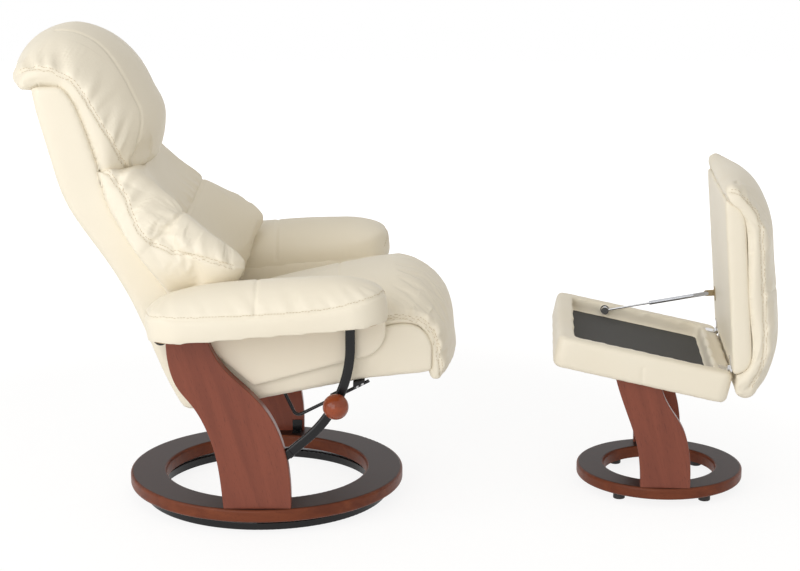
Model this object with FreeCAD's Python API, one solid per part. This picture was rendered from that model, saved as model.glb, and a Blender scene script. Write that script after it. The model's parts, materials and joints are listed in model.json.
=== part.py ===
"""Swivel recliner with a storage footstool.

X points to the front of the chair, Y to the sitter's left and Z up, in millimetres.
The origin is on the floor, on the chair's swivel axis.
"""
import FreeCAD, Part
import math
import os

V = FreeCAD.Vector
ORIGIN = V(0, 0, 0)
X_AXIS = V(1, 0, 0)
Y_AXIS = V(0, 1, 0)
Z_AXIS = V(0, 0, 1)

# Clearances and cutting overrun
running_clearance = 0.05
loft_degree = 2
soft_gap = 0.5
overrun = 5.0

# Swivel base of the chair
floor_ring_inset = 32.0
floor_ring_width = 36.0
floor_ring_height = 18.0
floor_ring_round = 3.0
race_width = 18.0
race_thickness = 2.0
ball_diameter = 5.0
ball_count = 14
cage_width = 12.0
cage_thickness = 1.6
cage_hole_clearance = 0.3
ring_width = 79.0
ring_thickness = 28.0
ring_edge_round = 6.0

# Chair legs: outline points are (share of the lean, share of the height)
leg_thickness = 29.0
leg_inset = 12.0
leg_apron_gap = 1.0
leg_foot_front = 69.0
leg_foot_width = 140.0
leg_rear_lean = 109.0
leg_front_lean = 169.0
leg_edge_round = 2.5
leg_rear_shares = ((0, 0), (0.046, 0.136), (0.138, 0.306), (0.294, 0.447), (0.56, 0.588),
                   (0.817, 0.686), (0.963, 0.80), (1, 1))
leg_front_shares = ((0, 0), (0.012, 0.18), (0.083, 0.348), (0.231, 0.508), (0.497, 0.655),
                    (0.775, 0.775), (0.923, 0.875), (1, 1))
leg_bracket_leg = 26.0
leg_bracket_width = 22.0
leg_bracket_thickness = 3.0
leg_bracket_setback = 16.0

# Armrests, along an underside that rises to the front
arm_tilt = 4.7
arm_underside_height = 446.0
arm_seat_gap = 4.0
arm_width = 157.0
arm_rear = 214.0
arm_front = 273.0
arm_band = 46.0
arm_end_round = 74.0
arm_crown = 54.0
arm_station_shares = ((-1.0, 0.12), (-0.78, 0.74), (-0.42, 0.98), (0, 1), (0.45, 0.95), (0.76, 0.82),
                      (0.93, 0.48), (1, 0.1))
arm_board_thickness = 16.0
arm_board_margin = 9.0

# Inner side panel under each arm: points are (share of the length, share of the drop)
apron_thickness = 14.0
apron_rear = 118.0
apron_front = 265.0
apron_drop = 137.0
apron_rear_rise_share = 0.22
apron_foot_share = 0.29
apron_nose_share = 0.865
apron_nose_drop_share = 0.70
apron_corner_share = 0.97
apron_corner_drop_share = 0.55

# Curved arm tubes
tube_width = 20.0
tube_depth = 13.0
tube_corner = 4.5
tube_top_x = 193.0
tube_foot_drop = 279.3
tube_bend_radius = 260.0
tube_bend_angle = 50.0
tube_sink = 27.0
ferrule_length = 9.0
ferrule_wall = 1.6
ferrule_standoff = 12.0

# Recline knobs and the clamps that they tighten
knob_diameter = 53.0
knob_tube_angle = 27.5
knob_flat_depth = 2.0
knob_insert_diameter = 14.0
knob_insert_depth = 24.0
knob_insert_end = 4.0
clamp_shank_diameter = 8.0
clamp_boss_diameter = 15.0
clamp_eye_diameter = 22.0
clamp_eye_length = 20.0
clamp_reach_into_knob = 18.0

# Rail rods under the seat
rail_diameter = 7.0
rail_inset = 12.0
rail_tilt = 26.9
rail_rear_run = 95.0
rail_front_run = 75.0
rail_bend_radius = 14.0
rail_riser_run = 24.0
rail_riser_height = 52.0
rail_bracket_rear_run = 38.0
rail_bracket_front_run = 65.0
rail_bracket_depth = 12.0
rail_bracket_lip = 4.0
rail_bracket_width = 28.0
rail_bolt_diameter = 8.0
rail_bolt_height = 4.0
rail_bolt_run_shares = (0.3, 0.75)

# Seat
seat_half_width = 240.0
seat_rear = 118.0
seat_front = 360.0
seat_over_clamp = 26.7
seat_underside_tilt = 11.3
seat_underside_knee = 224.0
seat_front_dip = 12.9
seat_depth = 104.9
seat_top_knee = 296.0
seat_top_tilt = 12.0
seat_nose_drop = 46.0
seat_nose_round_share = 0.3
seat_edge_round = 8.0
seat_board_thickness = 14.0
seat_board_margin = 22.0
seat_board_front_margin = 30.0
cushion_edge = 20.0
cushion_crown = 86.0
cushion_lip_crown = 46.0
cushion_lip_drop = 76.0
cushion_root = 4.0
cushion_seat_gap = 0.3
cushion_top_shares = ((0, 0.84), (0.3, 0.96), (0.62, 1), (0.94, 0.96))
cushion_bend_shares = ((0.38, 0.8), (0.72, 0.63))
cushion_lip_shares = ((0, 0.98), (0.45, 1.12), (0.8, 1.18), (1, 0.78))
cushion_side_gap = 3.0

# Back shell: rows are shares of (height, reach behind the axis at the rear, the same at the front)
back_foot_drop = 15.0
back_height = 678.0
back_reach = 452.0
back_side_inset = 28.0
back_corner_round = 24.0
back_shares = ((0, 0.35, 0.288), (0.084, 0.42, 0.29), (0.232, 0.511, 0.323), (0.335, 0.577, 0.367),
               (0.438, 0.662, 0.442), (0.534, 0.759, 0.551), (0.659, 0.872, 0.659), (0.763, 0.92, 0.708),
               (0.881, 0.967, 0.763), (0.969, 0.996, 0.821), (1, 1, 0.858))
back_board_thickness = 12.0
back_board_margin = 14.0

# Back pad: rows are shares of (height, half width, reach behind the axis at the wings, the same in the middle)
pad_over_arm = 6.0
pad_height = 310.0
pad_reach_share = 0.571
wing_overhang = 42.0
wing_arm_gap = 3.0
pad_shares = ((0, 0.83, 0.225, 0.357), (0.139, 0.837, 0.147, 0.419), (0.284, 0.972, 0.07, 0.519),
              (0.381, 1, 0.047, 0.589), (0.494, 0.993, 0.194, 0.667), (0.606, 0.929, 0.434, 0.744),
              (0.768, 0.851, 0.698, 0.86), (0.897, 0.801, 0.845, 0.946), (1, 0.773, 0.93, 1))
wing_crest_share = 0.86

# Headrest pillow: outer skin and the seat of each point on the shell, as shares of the depth and the height
headrest_overhang = 67.0
headrest_depth = 312.0
headrest_seam_gap = 2.0
headrest_height = 269.0
headrest_side_inset = 4.0
headrest_outer_shares = ((0.894, 0.007), (1, 0.178), (0.939, 0.476), (0.763, 0.803), (0.42, 1), (0.11, 0.84),
                         (0.03, 0.68), (0.044, 0.575), (0.095, 0.53))
headrest_inner_shares = ((0.644, 0), (0.587, 0.178), (0.522, 0.401), (0.471, 0.524), (0.42, 0.587),
                         (0.215, 0.587), (0.202, 0.565), (0.2, 0.548), (0.198, 0.536))
headrest_section_shares = ((-1, 0.26), (-0.88, 0.47), (-0.62, 0.77), (-0.3, 0.94), (0, 1), (0.3, 0.94),
                           (0.62, 0.77), (0.88, 0.47), (1, 0.26))
headrest_gap = 1.0

# Recline pivots
pivot_back = 196.0
pivot_drop = 21.9
pivot_pin_diameter = 10.0
pivot_flange_diameter = 26.0
pivot_flange_thickness = 4.0
pivot_bush_wall = 2.0
back_bracket_thickness = 5.0
back_bracket_width = 30.0
back_bracket_gap = 2.0
back_bracket_flange = 14.0
back_bracket_end_round = 14.0
seat_pivot_back = 152.0
seat_pivot_rise = 7.6
seat_lug_thickness = 5.0
seat_lug_height = 26.0
seat_lug_share = 0.625
seat_lug_side_gap = 3.0
seat_lug_notch_rise = 36.0
seat_lug_notch_back = 20.0
seat_pin_grip = 14.0
seat_lug_hole_radius = 9.0

# Stool: place on the floor and turn about the vertical
stool_x = 876.0
stool_y = 54.0
stool_turn = -4.3
stool_ring_radius = 184.0
stool_ring_bore_radius = 123.5
stool_ring_thickness = 26.0
stool_foot_diameter = 26.0
stool_foot_height = 17.0
stool_foot_angle = 53.0
stool_foot_round = 2.0
stool_leg_thickness = 25.0
stool_leg_inset = 8.0
stool_leg_foot_front = 57.0
stool_leg_foot_width = 107.0
stool_leg_lean = 60.0
stool_leg_front_lean = 68.0
stool_leg_shares = ((0, 0), (0.04, 0.2), (0.18, 0.4), (0.45, 0.6), (0.78, 0.82), (1, 1))
stool_leg_front_shares = ((0, 0), (0.01, 0.2), (0.09, 0.4), (0.31, 0.6), (0.66, 0.76), (0.88, 0.88), (1, 1))

# Stool tray and lid, measured from the lid's hinge axis
tray_tilt = 11.8
hinge_x = 132.0
hinge_height = 309.0
tray_length = 372.0
tray_behind_hinge = 5.0
tray_half_width = 220.0
tray_height = 68.0
tray_wall = 36.0
tray_rear_wall = 42.0
tray_depth = 30.0
tray_corner = 22.0
tray_edge_round = 10.0
tray_floor_thickness = 4.0
ledge_width = 33.0
lid_gap = 0.5
lid_open_angle = 73.4
lid_thickness = 43.0
lid_end_round = 36.0
lid_edge_round = 9.0
lid_rear_margin = 1.5
lid_cushion_edge = 36.0
lid_cushion_crown = 68.0
lid_cushion_free_overhang = 34.0
lid_cushion_hinge_overhang = 58.0
lid_cushion_side_overhang = 10.0
lid_station_shares = ((0, 0.6, 0.12, 0.88), (0.022, 0.94, 0.34, 0.95), (0.06, 0.94, 0.58, 0.98),
                      (0.18, 0, 0.88, 0.985), (0.5, 0, 1, 0.97), (0.8, 0, 0.97, 0.985), (0.91, 0.9, 0.78, 0.98),
                      (0.97, 0.9, 0.52, 0.95), (1, 0.55, 0.12, 0.88))

# Lid hinges
hinge_offset = 165.0
hinge_length = 30.0
hinge_leaf_width = 26.0
hinge_leaf_thickness = 2.0
hinge_leaf_gap = 0.3
hinge_knuckle_diameter = 8.0
hinge_pin_diameter = 4.0
hinge_pocket_clearance = 1.2
hinge_middle_share = 0.44
hinge_knuckle_gap = 0.3

# Lid strut, measured from the hinge axis along and across the tray
strut_ball_run = 258.0
strut_ball_drop = 11.0
strut_pin_run = 87.7
strut_pin_drop = 16.6
strut_ball_diameter = 10.0
strut_ball_standoff = 12.0
strut_stud_diameter = 6.0
strut_plate_diameter = 20.0
strut_plate_thickness = 2.0
strut_cup_diameter = 17.0
strut_cup_length = 9.0
strut_rod_diameter = 4.5
strut_rod_end = 131.0
strut_cylinder_diameter = 9.0
strut_cylinder_start = 103.0
strut_cylinder_end = 205.0
strut_bore_clearance = 0.3
strut_eye_width = 9.0
strut_eye_thickness = 3.0
strut_cap_length = 6.0
bracket_base_length = 30.0
bracket_base_width = 16.0
bracket_thickness = 2.0
bracket_tongue_width = 14.0
bracket_lap_gap = 0.5


def between(table, place, column=1):
    """A value from a table, smooth between its rows."""
    rows = list(table)
    index = 0
    while index < len(rows) - 2 and place > rows[index + 1][0]:
        index += 1
    low, high = rows[index], rows[index + 1]
    before = rows[max(index - 1, 0)]
    after = rows[min(index + 2, len(rows) - 1)]
    span = high[0] - low[0]
    share = (place - low[0]) / span
    slope_low = (high[column] - before[column]) / (high[0] - before[0]) * span
    slope_high = (after[column] - low[column]) / (after[0] - low[0]) * span
    rise = high[column] - low[column]
    return (low[column] + share * slope_low
            + share ** 2 * (3 * rise - 2 * slope_low - slope_high)
            + share ** 3 * (slope_low + slope_high - 2 * rise))


# Sizes worked out from those above
ball_level = floor_ring_height + race_thickness + running_clearance + ball_diameter / 2
ring_bottom = ball_level + ball_diameter / 2 + running_clearance + race_thickness
ring_top = ring_bottom + ring_thickness
arm_inner = seat_half_width + arm_seat_gap
leg_inner = arm_inner + apron_thickness + leg_apron_gap
leg_outer = leg_inner + leg_thickness
ring_radius = leg_outer + leg_inset
ring_bore_radius = ring_radius - ring_width
floor_ring_radius = ring_radius - floor_ring_inset
floor_ring_bore_radius = floor_ring_radius - floor_ring_width
race_radius = (floor_ring_radius + floor_ring_bore_radius) / 2
rail_offset = seat_half_width - rail_inset
arm_outer = arm_inner + arm_width
arm_middle = arm_inner + arm_width / 2
tube_middle = (leg_inner + leg_outer) / 2
tilt_tangent = math.tan(math.radians(arm_tilt))
leg_front_rise = arm_underside_height + (leg_foot_front - leg_front_lean) * tilt_tangent - ring_top
tube_foot_height = arm_underside_height - tube_foot_drop
tube_foot_share = (tube_foot_height - ring_top) / leg_front_rise
tube_foot_lean = between([(up, lean) for lean, up in leg_front_shares], tube_foot_share)
tube_foot_x = leg_foot_front - leg_front_lean * tube_foot_lean
tube_turn = math.radians(tube_bend_angle)
tube_run = (tube_top_x - tube_foot_x - tube_bend_radius * (1 - math.cos(tube_turn))) / math.sin(tube_turn)
tube_bend_height = tube_foot_height + tube_bend_radius * math.sin(tube_turn) + tube_run * math.cos(tube_turn)
knob_turn = math.radians(knob_tube_angle)
knob_x = tube_top_x - tube_bend_radius * (1 - math.cos(knob_turn))
knob_z = tube_bend_height - tube_bend_radius * math.sin(knob_turn)
knob_middle = tube_middle + tube_depth / 2 + knob_diameter / 2 - knob_flat_depth + soft_gap
rail_direction = V(math.cos(math.radians(rail_tilt)), 0, math.sin(math.radians(rail_tilt)))
seat_tangent = math.tan(math.radians(seat_underside_tilt))
seat_level = knob_z + seat_over_clamp - knob_x * seat_tangent
seat_front_underside_height = seat_level + seat_front * seat_tangent - seat_front_dip
seat_top_height = seat_level + seat_top_knee * seat_tangent + seat_depth
seat_nose_height = seat_top_height - seat_nose_drop
seat_pivot_height = seat_level - seat_rear * seat_tangent + seat_pivot_rise
pivot_height = arm_underside_height - pivot_back * tilt_tangent - pivot_drop
back_half_width = seat_half_width - back_side_inset
seat_lug_offset = seat_half_width * seat_lug_share
back_bottom = seat_pivot_height - back_foot_drop
back_top = back_bottom + back_height
back_table = [(back_bottom + back_height * up, back_reach * rear, back_reach * front)
              for up, rear, front in back_shares]
pad_bottom = arm_underside_height + pad_over_arm
pad_top = pad_bottom + pad_height
wing_half_width = seat_half_width + wing_overhang
headrest_bottom = pad_top + headrest_seam_gap
headrest_rear = back_reach + headrest_overhang
pad_reach = back_reach * pad_reach_share
headrest_half_width = back_half_width - headrest_side_inset
stool_ring_top = stool_foot_height + stool_ring_thickness
stool_leg_outer = stool_ring_radius - stool_leg_inset
tray_top = hinge_leaf_gap + hinge_leaf_thickness - lid_gap
ledge_level = -hinge_leaf_gap - hinge_leaf_thickness
tray_inner_half_width = tray_half_width - tray_wall
strut_middle = tray_inner_half_width - strut_ball_standoff


def line(start, end):
    return Part.LineSegment(start, end).toShape()


def arc(start, middle, end):
    return Part.Arc(start, middle, end).toShape()


def smooth(points):
    """A curve through a few points."""
    curve = Part.BSplineCurve()
    curve.interpolate(points)
    return curve.toShape()


def side_points(pairs, y=0):
    return [V(x, y, z) for x, z in pairs]


def polygon(points):
    return [line(start, end) for start, end in zip(points, points[1:])]


def prism(edges, direction):
    """A solid from the closed outline of the edges, drawn along the direction."""
    return Part.Face(Part.Wire(edges)).extrude(direction)


def cylinder(radius, start, end):
    axis = end - start
    return Part.makeCylinder(radius, axis.Length, start, axis)


def box(low, high):
    size = high - low
    return Part.makeBox(size.x, size.y, size.z, low)


def loft(wires):
    return Part.makeLoft(wires, True, False, False, loft_degree)


def mirrored(shape):
    return shape.mirror(ORIGIN, Y_AXIS)


def save(name, *solids):
    shape = solids[0] if len(solids) == 1 else Part.makeCompound(solids)
    shape.exportStep("parts/" + name + ".step")


def save_pair(name, right):
    """The right-hand piece and its mirror image, in two nodes."""
    save("right_" + name, right)
    save("left_" + name, mirrored(right))


def round_ring(outer, bore, bottom, thickness, edge):
    """A flat ring with its top and bottom outer edges and its top inner edge rounded."""
    height = Z_AXIS * thickness
    start = Z_AXIS * bottom
    ring = cylinder(outer, start, start + height).cut(cylinder(bore, start, start + height))
    level = bottom + thickness / 2
    rounded = [e for e in ring.Edges if e.Curve.TypeId == "Part::GeomCircle"
               and (e.Curve.Center.z > level or e.Curve.Radius > (outer + bore) / 2)]
    return ring.makeFillet(edge, rounded)


def flat_ring(radius, width, bottom, thickness):
    start = Z_AXIS * bottom
    end = start + Z_AXIS * thickness
    return cylinder(radius + width / 2, start, end).cut(cylinder(radius - width / 2, start, end))


def swivel_base():
    save("floor_ring", round_ring(floor_ring_radius, floor_ring_bore_radius, 0, floor_ring_height,
                                  floor_ring_round))
    save("bearing_lower_race", flat_ring(race_radius, race_width, floor_ring_height, race_thickness))
    save("bearing_upper_race", flat_ring(race_radius, race_width, ring_bottom - race_thickness,
                                         race_thickness))
    cage = flat_ring(race_radius, cage_width, ball_level - cage_thickness / 2, cage_thickness)
    balls = []
    for index in range(ball_count):
        turn = 2 * math.pi * index / ball_count
        centre = V(race_radius * math.cos(turn), race_radius * math.sin(turn), ball_level)
        balls.append(Part.makeSphere(ball_diameter / 2, centre))
        pocket = Z_AXIS * ball_diameter
        cage = cage.cut(cylinder(ball_diameter / 2 + cage_hole_clearance, centre - pocket, centre + pocket))
    save("bearing_cage", cage)
    save("bearing_balls", *balls)
    save("base_ring", round_ring(ring_radius, ring_bore_radius, ring_bottom, ring_thickness, ring_edge_round))


def leg_solid(foot_rear, foot_front, rear, front, rear_lean, front_lean, bottom, top, outer, thickness, edge):
    """A leg cut from board: two S-shaped edges between a flat foot and the sloping underside that it carries.

    top gives the height of that underside at a place along X.
    """
    rear_rise = top(foot_rear - rear_lean) - bottom
    front_rise = top(foot_front - front_lean) - bottom
    rear_edge = side_points([(foot_rear - rear_lean * u, bottom + rear_rise * v) for u, v in rear], -outer)
    front_edge = side_points([(foot_front - front_lean * u, bottom + front_rise * v) for u, v in front], -outer)
    leg = prism([line(rear_edge[0], front_edge[0]), smooth(front_edge), line(front_edge[-1], rear_edge[-1]),
                 smooth(rear_edge)], Y_AXIS * thickness)
    long_edges = [e for e in leg.Edges if e.Curve.TypeId == "Part::GeomBSplineCurve"]
    return leg.makeFillet(edge, long_edges)


def arm_underside(x):
    return arm_underside_height + x * tilt_tangent


def chair_leg():
    return leg_solid(leg_foot_front - leg_foot_width, leg_foot_front, leg_rear_shares, leg_front_shares,
                     leg_rear_lean, leg_front_lean, ring_top, arm_underside, leg_outer, leg_thickness,
                     leg_edge_round)


def angle_bracket(x, y, z):
    """A small steel angle that ties the inner face of a leg to the ring."""
    half = X_AXIS * (leg_bracket_width / 2)
    corner = V(x, y, z)
    across = Y_AXIS
    points = [corner, corner + across * leg_bracket_leg,
              corner + across * leg_bracket_leg + Z_AXIS * leg_bracket_thickness,
              corner + across * leg_bracket_thickness + Z_AXIS * leg_bracket_thickness,
              corner + across * leg_bracket_thickness + Z_AXIS * leg_bracket_leg,
              corner + Z_AXIS * leg_bracket_leg, corner]
    return prism(polygon([p - half for p in points]), half * 2)


def leg_brackets(foot_rear, foot_front, inner, level):
    brackets = []
    for x in (foot_rear + leg_bracket_setback, foot_front - leg_bracket_setback):
        bracket = angle_bracket(x, -inner, level)
        brackets += [bracket, mirrored(bracket)]
    return brackets


def tilted_arm(shape):
    """Lay a level arm piece, drawn with its underside at zero, on the arm's rising underside."""
    placed = shape.copy()
    placed.rotate(ORIGIN, Y_AXIS, -arm_tilt)
    placed.translate(Z_AXIS * arm_underside_height)
    return placed


def arm_outline(margin):
    """Plan of an arm: straight sides and rounded ends, inset by the margin."""
    rear, front = -arm_rear + margin, arm_front - margin
    inner, outer = -arm_inner - margin, -arm_outer + margin
    nose = arm_end_round - margin
    middle = (inner + outer) / 2
    corner = nose * (1 - math.sqrt(1 / 2))
    half = (inner - outer) / 2
    bow = half * (1 - math.sqrt(1 / 2))
    return [line(V(rear + nose, inner, 0), V(front - nose, inner, 0)),
            arc(V(front - nose, inner, 0), V(front - corner, inner - bow, 0), V(front, middle, 0)),
            arc(V(front, middle, 0), V(front - corner, outer + bow, 0), V(front - nose, outer, 0)),
            line(V(front - nose, outer, 0), V(rear + nose, outer, 0)),
            arc(V(rear + nose, outer, 0), V(rear + corner, outer + bow, 0), V(rear, middle, 0)),
            arc(V(rear, middle, 0), V(rear + corner, inner - bow, 0), V(rear + nose, inner, 0))]


def arm_crown_solid():
    """The space under the arm's crowned top, as arched sections along its length."""
    sections = []
    for place, share in arm_station_shares:
        x = place * (arm_front if place > 0 else arm_rear)
        inner, outer = -arm_inner, -arm_outer
        top = arm_band + arm_crown * share
        crest = V(x, -arm_middle, top)
        sections.append(Part.Wire([line(V(x, inner, 0), V(x, outer, 0)),
                                   line(V(x, outer, 0), V(x, outer, arm_band)),
                                   arc(V(x, outer, arm_band), crest, V(x, inner, arm_band)),
                                   line(V(x, inner, arm_band), V(x, inner, 0))]))
    return loft(sections)


def arm_pieces():
    board_height = Z_AXIS * arm_board_thickness
    board = prism(arm_outline(arm_board_margin), board_height)
    block = prism(arm_outline(0), Z_AXIS * (arm_band + arm_crown + overrun))
    pad = block.common(arm_crown_solid()).cut(board)
    return tilted_arm(board), tilted_arm(pad)


def apron_panel():
    """The upholstered panel that closes the side under the arm, with its swept lower edge."""
    def place(share, drop):
        x = -apron_rear + (apron_front + apron_rear) * share
        return V(x, -arm_inner - apron_thickness, arm_underside(x) - apron_drop * drop)
    top_rear, top_front = place(0, 0), place(1, 0)
    rear = place(0, apron_rear_rise_share)
    foot = place(apron_foot_share, 1)
    nose = place(apron_nose_share, apron_nose_drop_share)
    corner = place(apron_corner_share, apron_corner_drop_share)
    front = place(1, apron_rear_rise_share)
    edges = [line(top_rear, rear), line(rear, foot), line(foot, nose), arc(nose, corner, front),
             line(front, top_front), line(top_front, top_rear)]
    return prism(edges, Y_AXIS * apron_thickness)


def tube_path():
    """Down from the arm, round the bend and on to the leg."""
    top = V(tube_top_x, -tube_middle, arm_underside(tube_top_x))
    bend = V(tube_top_x, -tube_middle, tube_bend_height)
    centre = V(tube_top_x - tube_bend_radius, -tube_middle, tube_bend_height)

    def on_bend(angle):
        return centre + V(math.cos(angle), 0, -math.sin(angle)) * tube_bend_radius
    end = on_bend(tube_turn)
    tail = end + V(-math.sin(tube_turn), 0, -math.cos(tube_turn)) * (tube_run + tube_sink)
    return top, bend, on_bend(tube_turn / 2), end, tail


def rounded_section(centre, wide, deep, width, depth, corner):
    """A rounded rectangle about a centre, with its sides along the wide and deep directions."""
    w, d = width / 2, depth / 2
    bow = corner * (1 - math.sqrt(1 / 2))

    def at(u, v):
        return centre + wide * u + deep * v
    edges = []
    for a, b in ((1, 1), (-1, 1), (-1, -1), (1, -1)):
        ends = [at(a * w, b * (d - corner)), at(a * (w - bow), b * (d - bow)), at(a * (w - corner), b * d)]
        if a * b < 0:
            ends.reverse()
        edges.append(ends)
    wire = []
    for index, ends in enumerate(edges):
        wire.append(arc(*ends))
        wire.append(line(ends[2], edges[(index + 1) % len(edges)][0]))
    return Part.Wire(wire)


def tube_body(width, depth, corner):
    top, bend, middle, end, tail = tube_path()
    path = Part.Wire([line(top + Z_AXIS * overrun, bend), arc(bend, middle, end), line(end, tail)])
    section = rounded_section(top + Z_AXIS * overrun, X_AXIS, Y_AXIS, width, depth, corner)
    return path.makePipeShell([section], True, False)


def arm_tube(leg, pad_space):
    return tube_body(tube_width, tube_depth, tube_corner).cut(leg).cut(pad_space).cut(clamp_hole())


def tube_ferrule(leg):
    """A short sleeve round the tube where it meets the leg."""
    top, bend, middle, end, tail = tube_path()
    along = (tail - end).normalize()
    across = V(-along.z, 0, along.x)
    start = end + along * (tube_run - ferrule_standoff)
    outer = rounded_section(start, across, Y_AXIS, tube_width + 2 * ferrule_wall, tube_depth + 2 * ferrule_wall,
                            tube_corner + ferrule_wall)
    inner = rounded_section(start, across, Y_AXIS, tube_width, tube_depth, tube_corner)
    reach = along * ferrule_length
    sleeve = Part.Face(outer).extrude(reach).cut(Part.Face(inner).extrude(reach))
    return sleeve.cut(leg)


def clamp_hole():
    radius = clamp_shank_diameter / 2 + running_clearance
    reach = Y_AXIS * tube_width
    middle = V(knob_x, -tube_middle, knob_z)
    return cylinder(radius, middle - reach, middle + reach)


def eye_bolt():
    """The clamp: an eye round the rail rod, with a shank that runs out through the tube to the knob."""
    eye = V(knob_x, -rail_offset, knob_z)
    half = rail_direction * (clamp_eye_length / 2)
    tube_face = V(knob_x, -tube_middle + tube_depth / 2, knob_z)
    tip = V(knob_x, -knob_middle + knob_diameter / 2 - clamp_reach_into_knob, knob_z)
    bolt = cylinder(clamp_eye_diameter / 2, eye - half, eye + half)
    boss = cylinder(clamp_boss_diameter / 2, eye, tube_face)
    shank = cylinder(clamp_shank_diameter / 2, eye, tip)
    bore = cylinder(rail_diameter / 2 + running_clearance, eye - half * 2, eye + half * 2)
    return bolt.fuse([boss, shank]).cut(bore).removeSplitter()


def knob_pieces():
    """A turned ball with a flat towards the tube, and the threaded insert in it."""
    centre = V(knob_x, -knob_middle, knob_z)
    face = centre + Y_AXIS * (knob_diameter / 2 - knob_flat_depth)
    bottom = face - Y_AXIS * knob_insert_depth
    radius = knob_diameter / 2
    keep = cylinder(knob_diameter, face, face - Y_AXIS * knob_diameter)
    insert = cylinder(knob_insert_diameter / 2, bottom, face)
    ball = Part.makeSphere(radius, centre).common(keep).cut(insert)
    bore = cylinder(clamp_shank_diameter / 2 + running_clearance, bottom + Y_AXIS * knob_insert_end, face)
    return ball, insert.cut(bore)


def seat_underside(x):
    return seat_level + x * seat_tangent


def seat_top(x):
    return seat_top_height - (seat_top_knee - x) * math.tan(math.radians(seat_top_tilt))


def seat_box():
    """The upholstered seat base: a wedge with a rounded nose."""
    y = -seat_half_width
    rear_low = V(-seat_rear, y, seat_underside(-seat_rear))
    knee = V(seat_underside_knee, y, seat_underside(seat_underside_knee))
    front_low = V(seat_front, y, seat_front_underside_height)
    nose = V(seat_front, y, seat_nose_height)
    round_share = seat_nose_round_share
    top_front = V(seat_top_knee, y, seat_top_height)
    shoulder = V(seat_front - (seat_front - seat_top_knee) * round_share, y,
                 seat_top_height - (seat_top_height - seat_nose_height) * round_share)
    rear_top = V(-seat_rear, y, seat_top(-seat_rear))
    edges = [line(rear_low, knee), line(knee, front_low), line(front_low, nose), arc(nose, shoulder, top_front),
             line(top_front, rear_top), line(rear_top, rear_low)]
    block = prism(edges, Y_AXIS * (2 * seat_half_width))
    low_edges = [e for e in block.Edges if e.BoundBox.YLength < seat_edge_round / 2
                 and e.BoundBox.XLength > seat_edge_round and e.CenterOfMass.z < seat_front_underside_height]
    return block.makeFillet(seat_edge_round, low_edges)


def seat_board():
    """The plywood deck let into the top of the seat base."""
    rear, front = -seat_rear + seat_board_margin, seat_top_knee - seat_board_front_margin
    y = -seat_half_width + seat_board_margin
    corners = [V(rear, y, seat_top(rear)), V(front, y, seat_top(front))]
    down = V(0, 0, -seat_board_thickness)
    outline = polygon([corners[0], corners[1], corners[1] + down, corners[0] + down, corners[0]])
    return prism(outline, Y_AXIS * (-2 * y))


def crowned_section(base, normal, half, edge, crown):
    """A flat base line across the seat, short upright sides and an arched top."""
    side = Y_AXIS * half
    rise = normal * edge
    return Part.Wire([line(base - side, base + side), line(base + side, base + side + rise),
                      arc(base + side + rise, base + normal * crown, base - side + rise),
                      line(base - side + rise, base - side)])


def seat_cushion(block):
    """A crowned pillow that runs along the seat, bends over the nose and hangs as a lip."""
    half = seat_half_width - cushion_side_gap
    slope = math.radians(seat_top_tilt)
    sections = []

    def add(base, angle, crown):
        normal = V(math.cos(angle), 0, math.sin(angle))
        sections.append(crowned_section(base - normal * cushion_root, normal, half, cushion_edge + cushion_root,
                                        crown + cushion_root))
    for place, share in cushion_top_shares:
        x = -seat_rear + (seat_top_knee + seat_rear) * place
        add(V(x, 0, seat_top(x)), math.pi / 2 + slope, cushion_crown * share)
    start, end = V(seat_top_knee, 0, seat_top_height), V(seat_front, 0, seat_nose_height)
    corner = V(seat_front, 0, seat_top(seat_front))
    for turn, share in cushion_bend_shares:
        base = start * (1 - turn) ** 2 + corner * (2 * turn * (1 - turn)) + end * turn ** 2
        add(base, (math.pi / 2 + slope) * (1 - turn), cushion_crown * share)
    for place, share in cushion_lip_shares:
        add(end - Z_AXIS * (cushion_lip_drop * place), 0, cushion_lip_crown * share)
    return loft(sections).cut(block).cut(block.translated(V(cushion_seat_gap, 0, cushion_seat_gap)))


def on_rail(run):
    return V(knob_x, -rail_offset, knob_z) + rail_direction * run


def rail_rod(seat, bracket):
    """The bent rod under the seat: a straight run through the clamp's eye and a riser into the seat."""
    low = on_rail(-rail_rear_run)
    front = on_rail(rail_front_run)
    top = low + V(-rail_riser_run, 0, rail_riser_height)
    rise = (top - low).normalize()
    half_turn = (math.pi - math.acos(rise.dot(rail_direction) / rise.Length)) / 2
    setback = rail_bend_radius * math.tan(math.pi / 2 - half_turn) if half_turn else rail_bend_radius
    inner = (rise + rail_direction).normalize()
    enter, leave = low + rise * setback, low + rail_direction * setback
    centre_reach = math.hypot(rail_bend_radius, setback)
    middle = low + inner * (centre_reach - rail_bend_radius)
    path = Part.Wire([line(top, enter), arc(enter, middle, leave), line(leave, front)])
    section = Part.Wire([Part.Circle(top, rise, rail_diameter / 2).toShape()])
    return path.makePipeShell([section], True, False).cut(seat).cut(bracket)


def rail_bracket():
    """The flat block that bolts the front end of a rod to the seat's underside."""
    y = -rail_offset - rail_bracket_width / 2
    rear, front = on_rail(rail_bracket_rear_run).x, on_rail(rail_bracket_front_run).x
    points = side_points([(rear, seat_underside(rear)), (front, seat_underside(front)),
                          (front, seat_underside(front) - rail_bracket_lip),
                          (rear, seat_underside(rear) - rail_bracket_depth),
                          (rear, seat_underside(rear))], y)
    return prism(polygon(points), Y_AXIS * rail_bracket_width)


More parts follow.
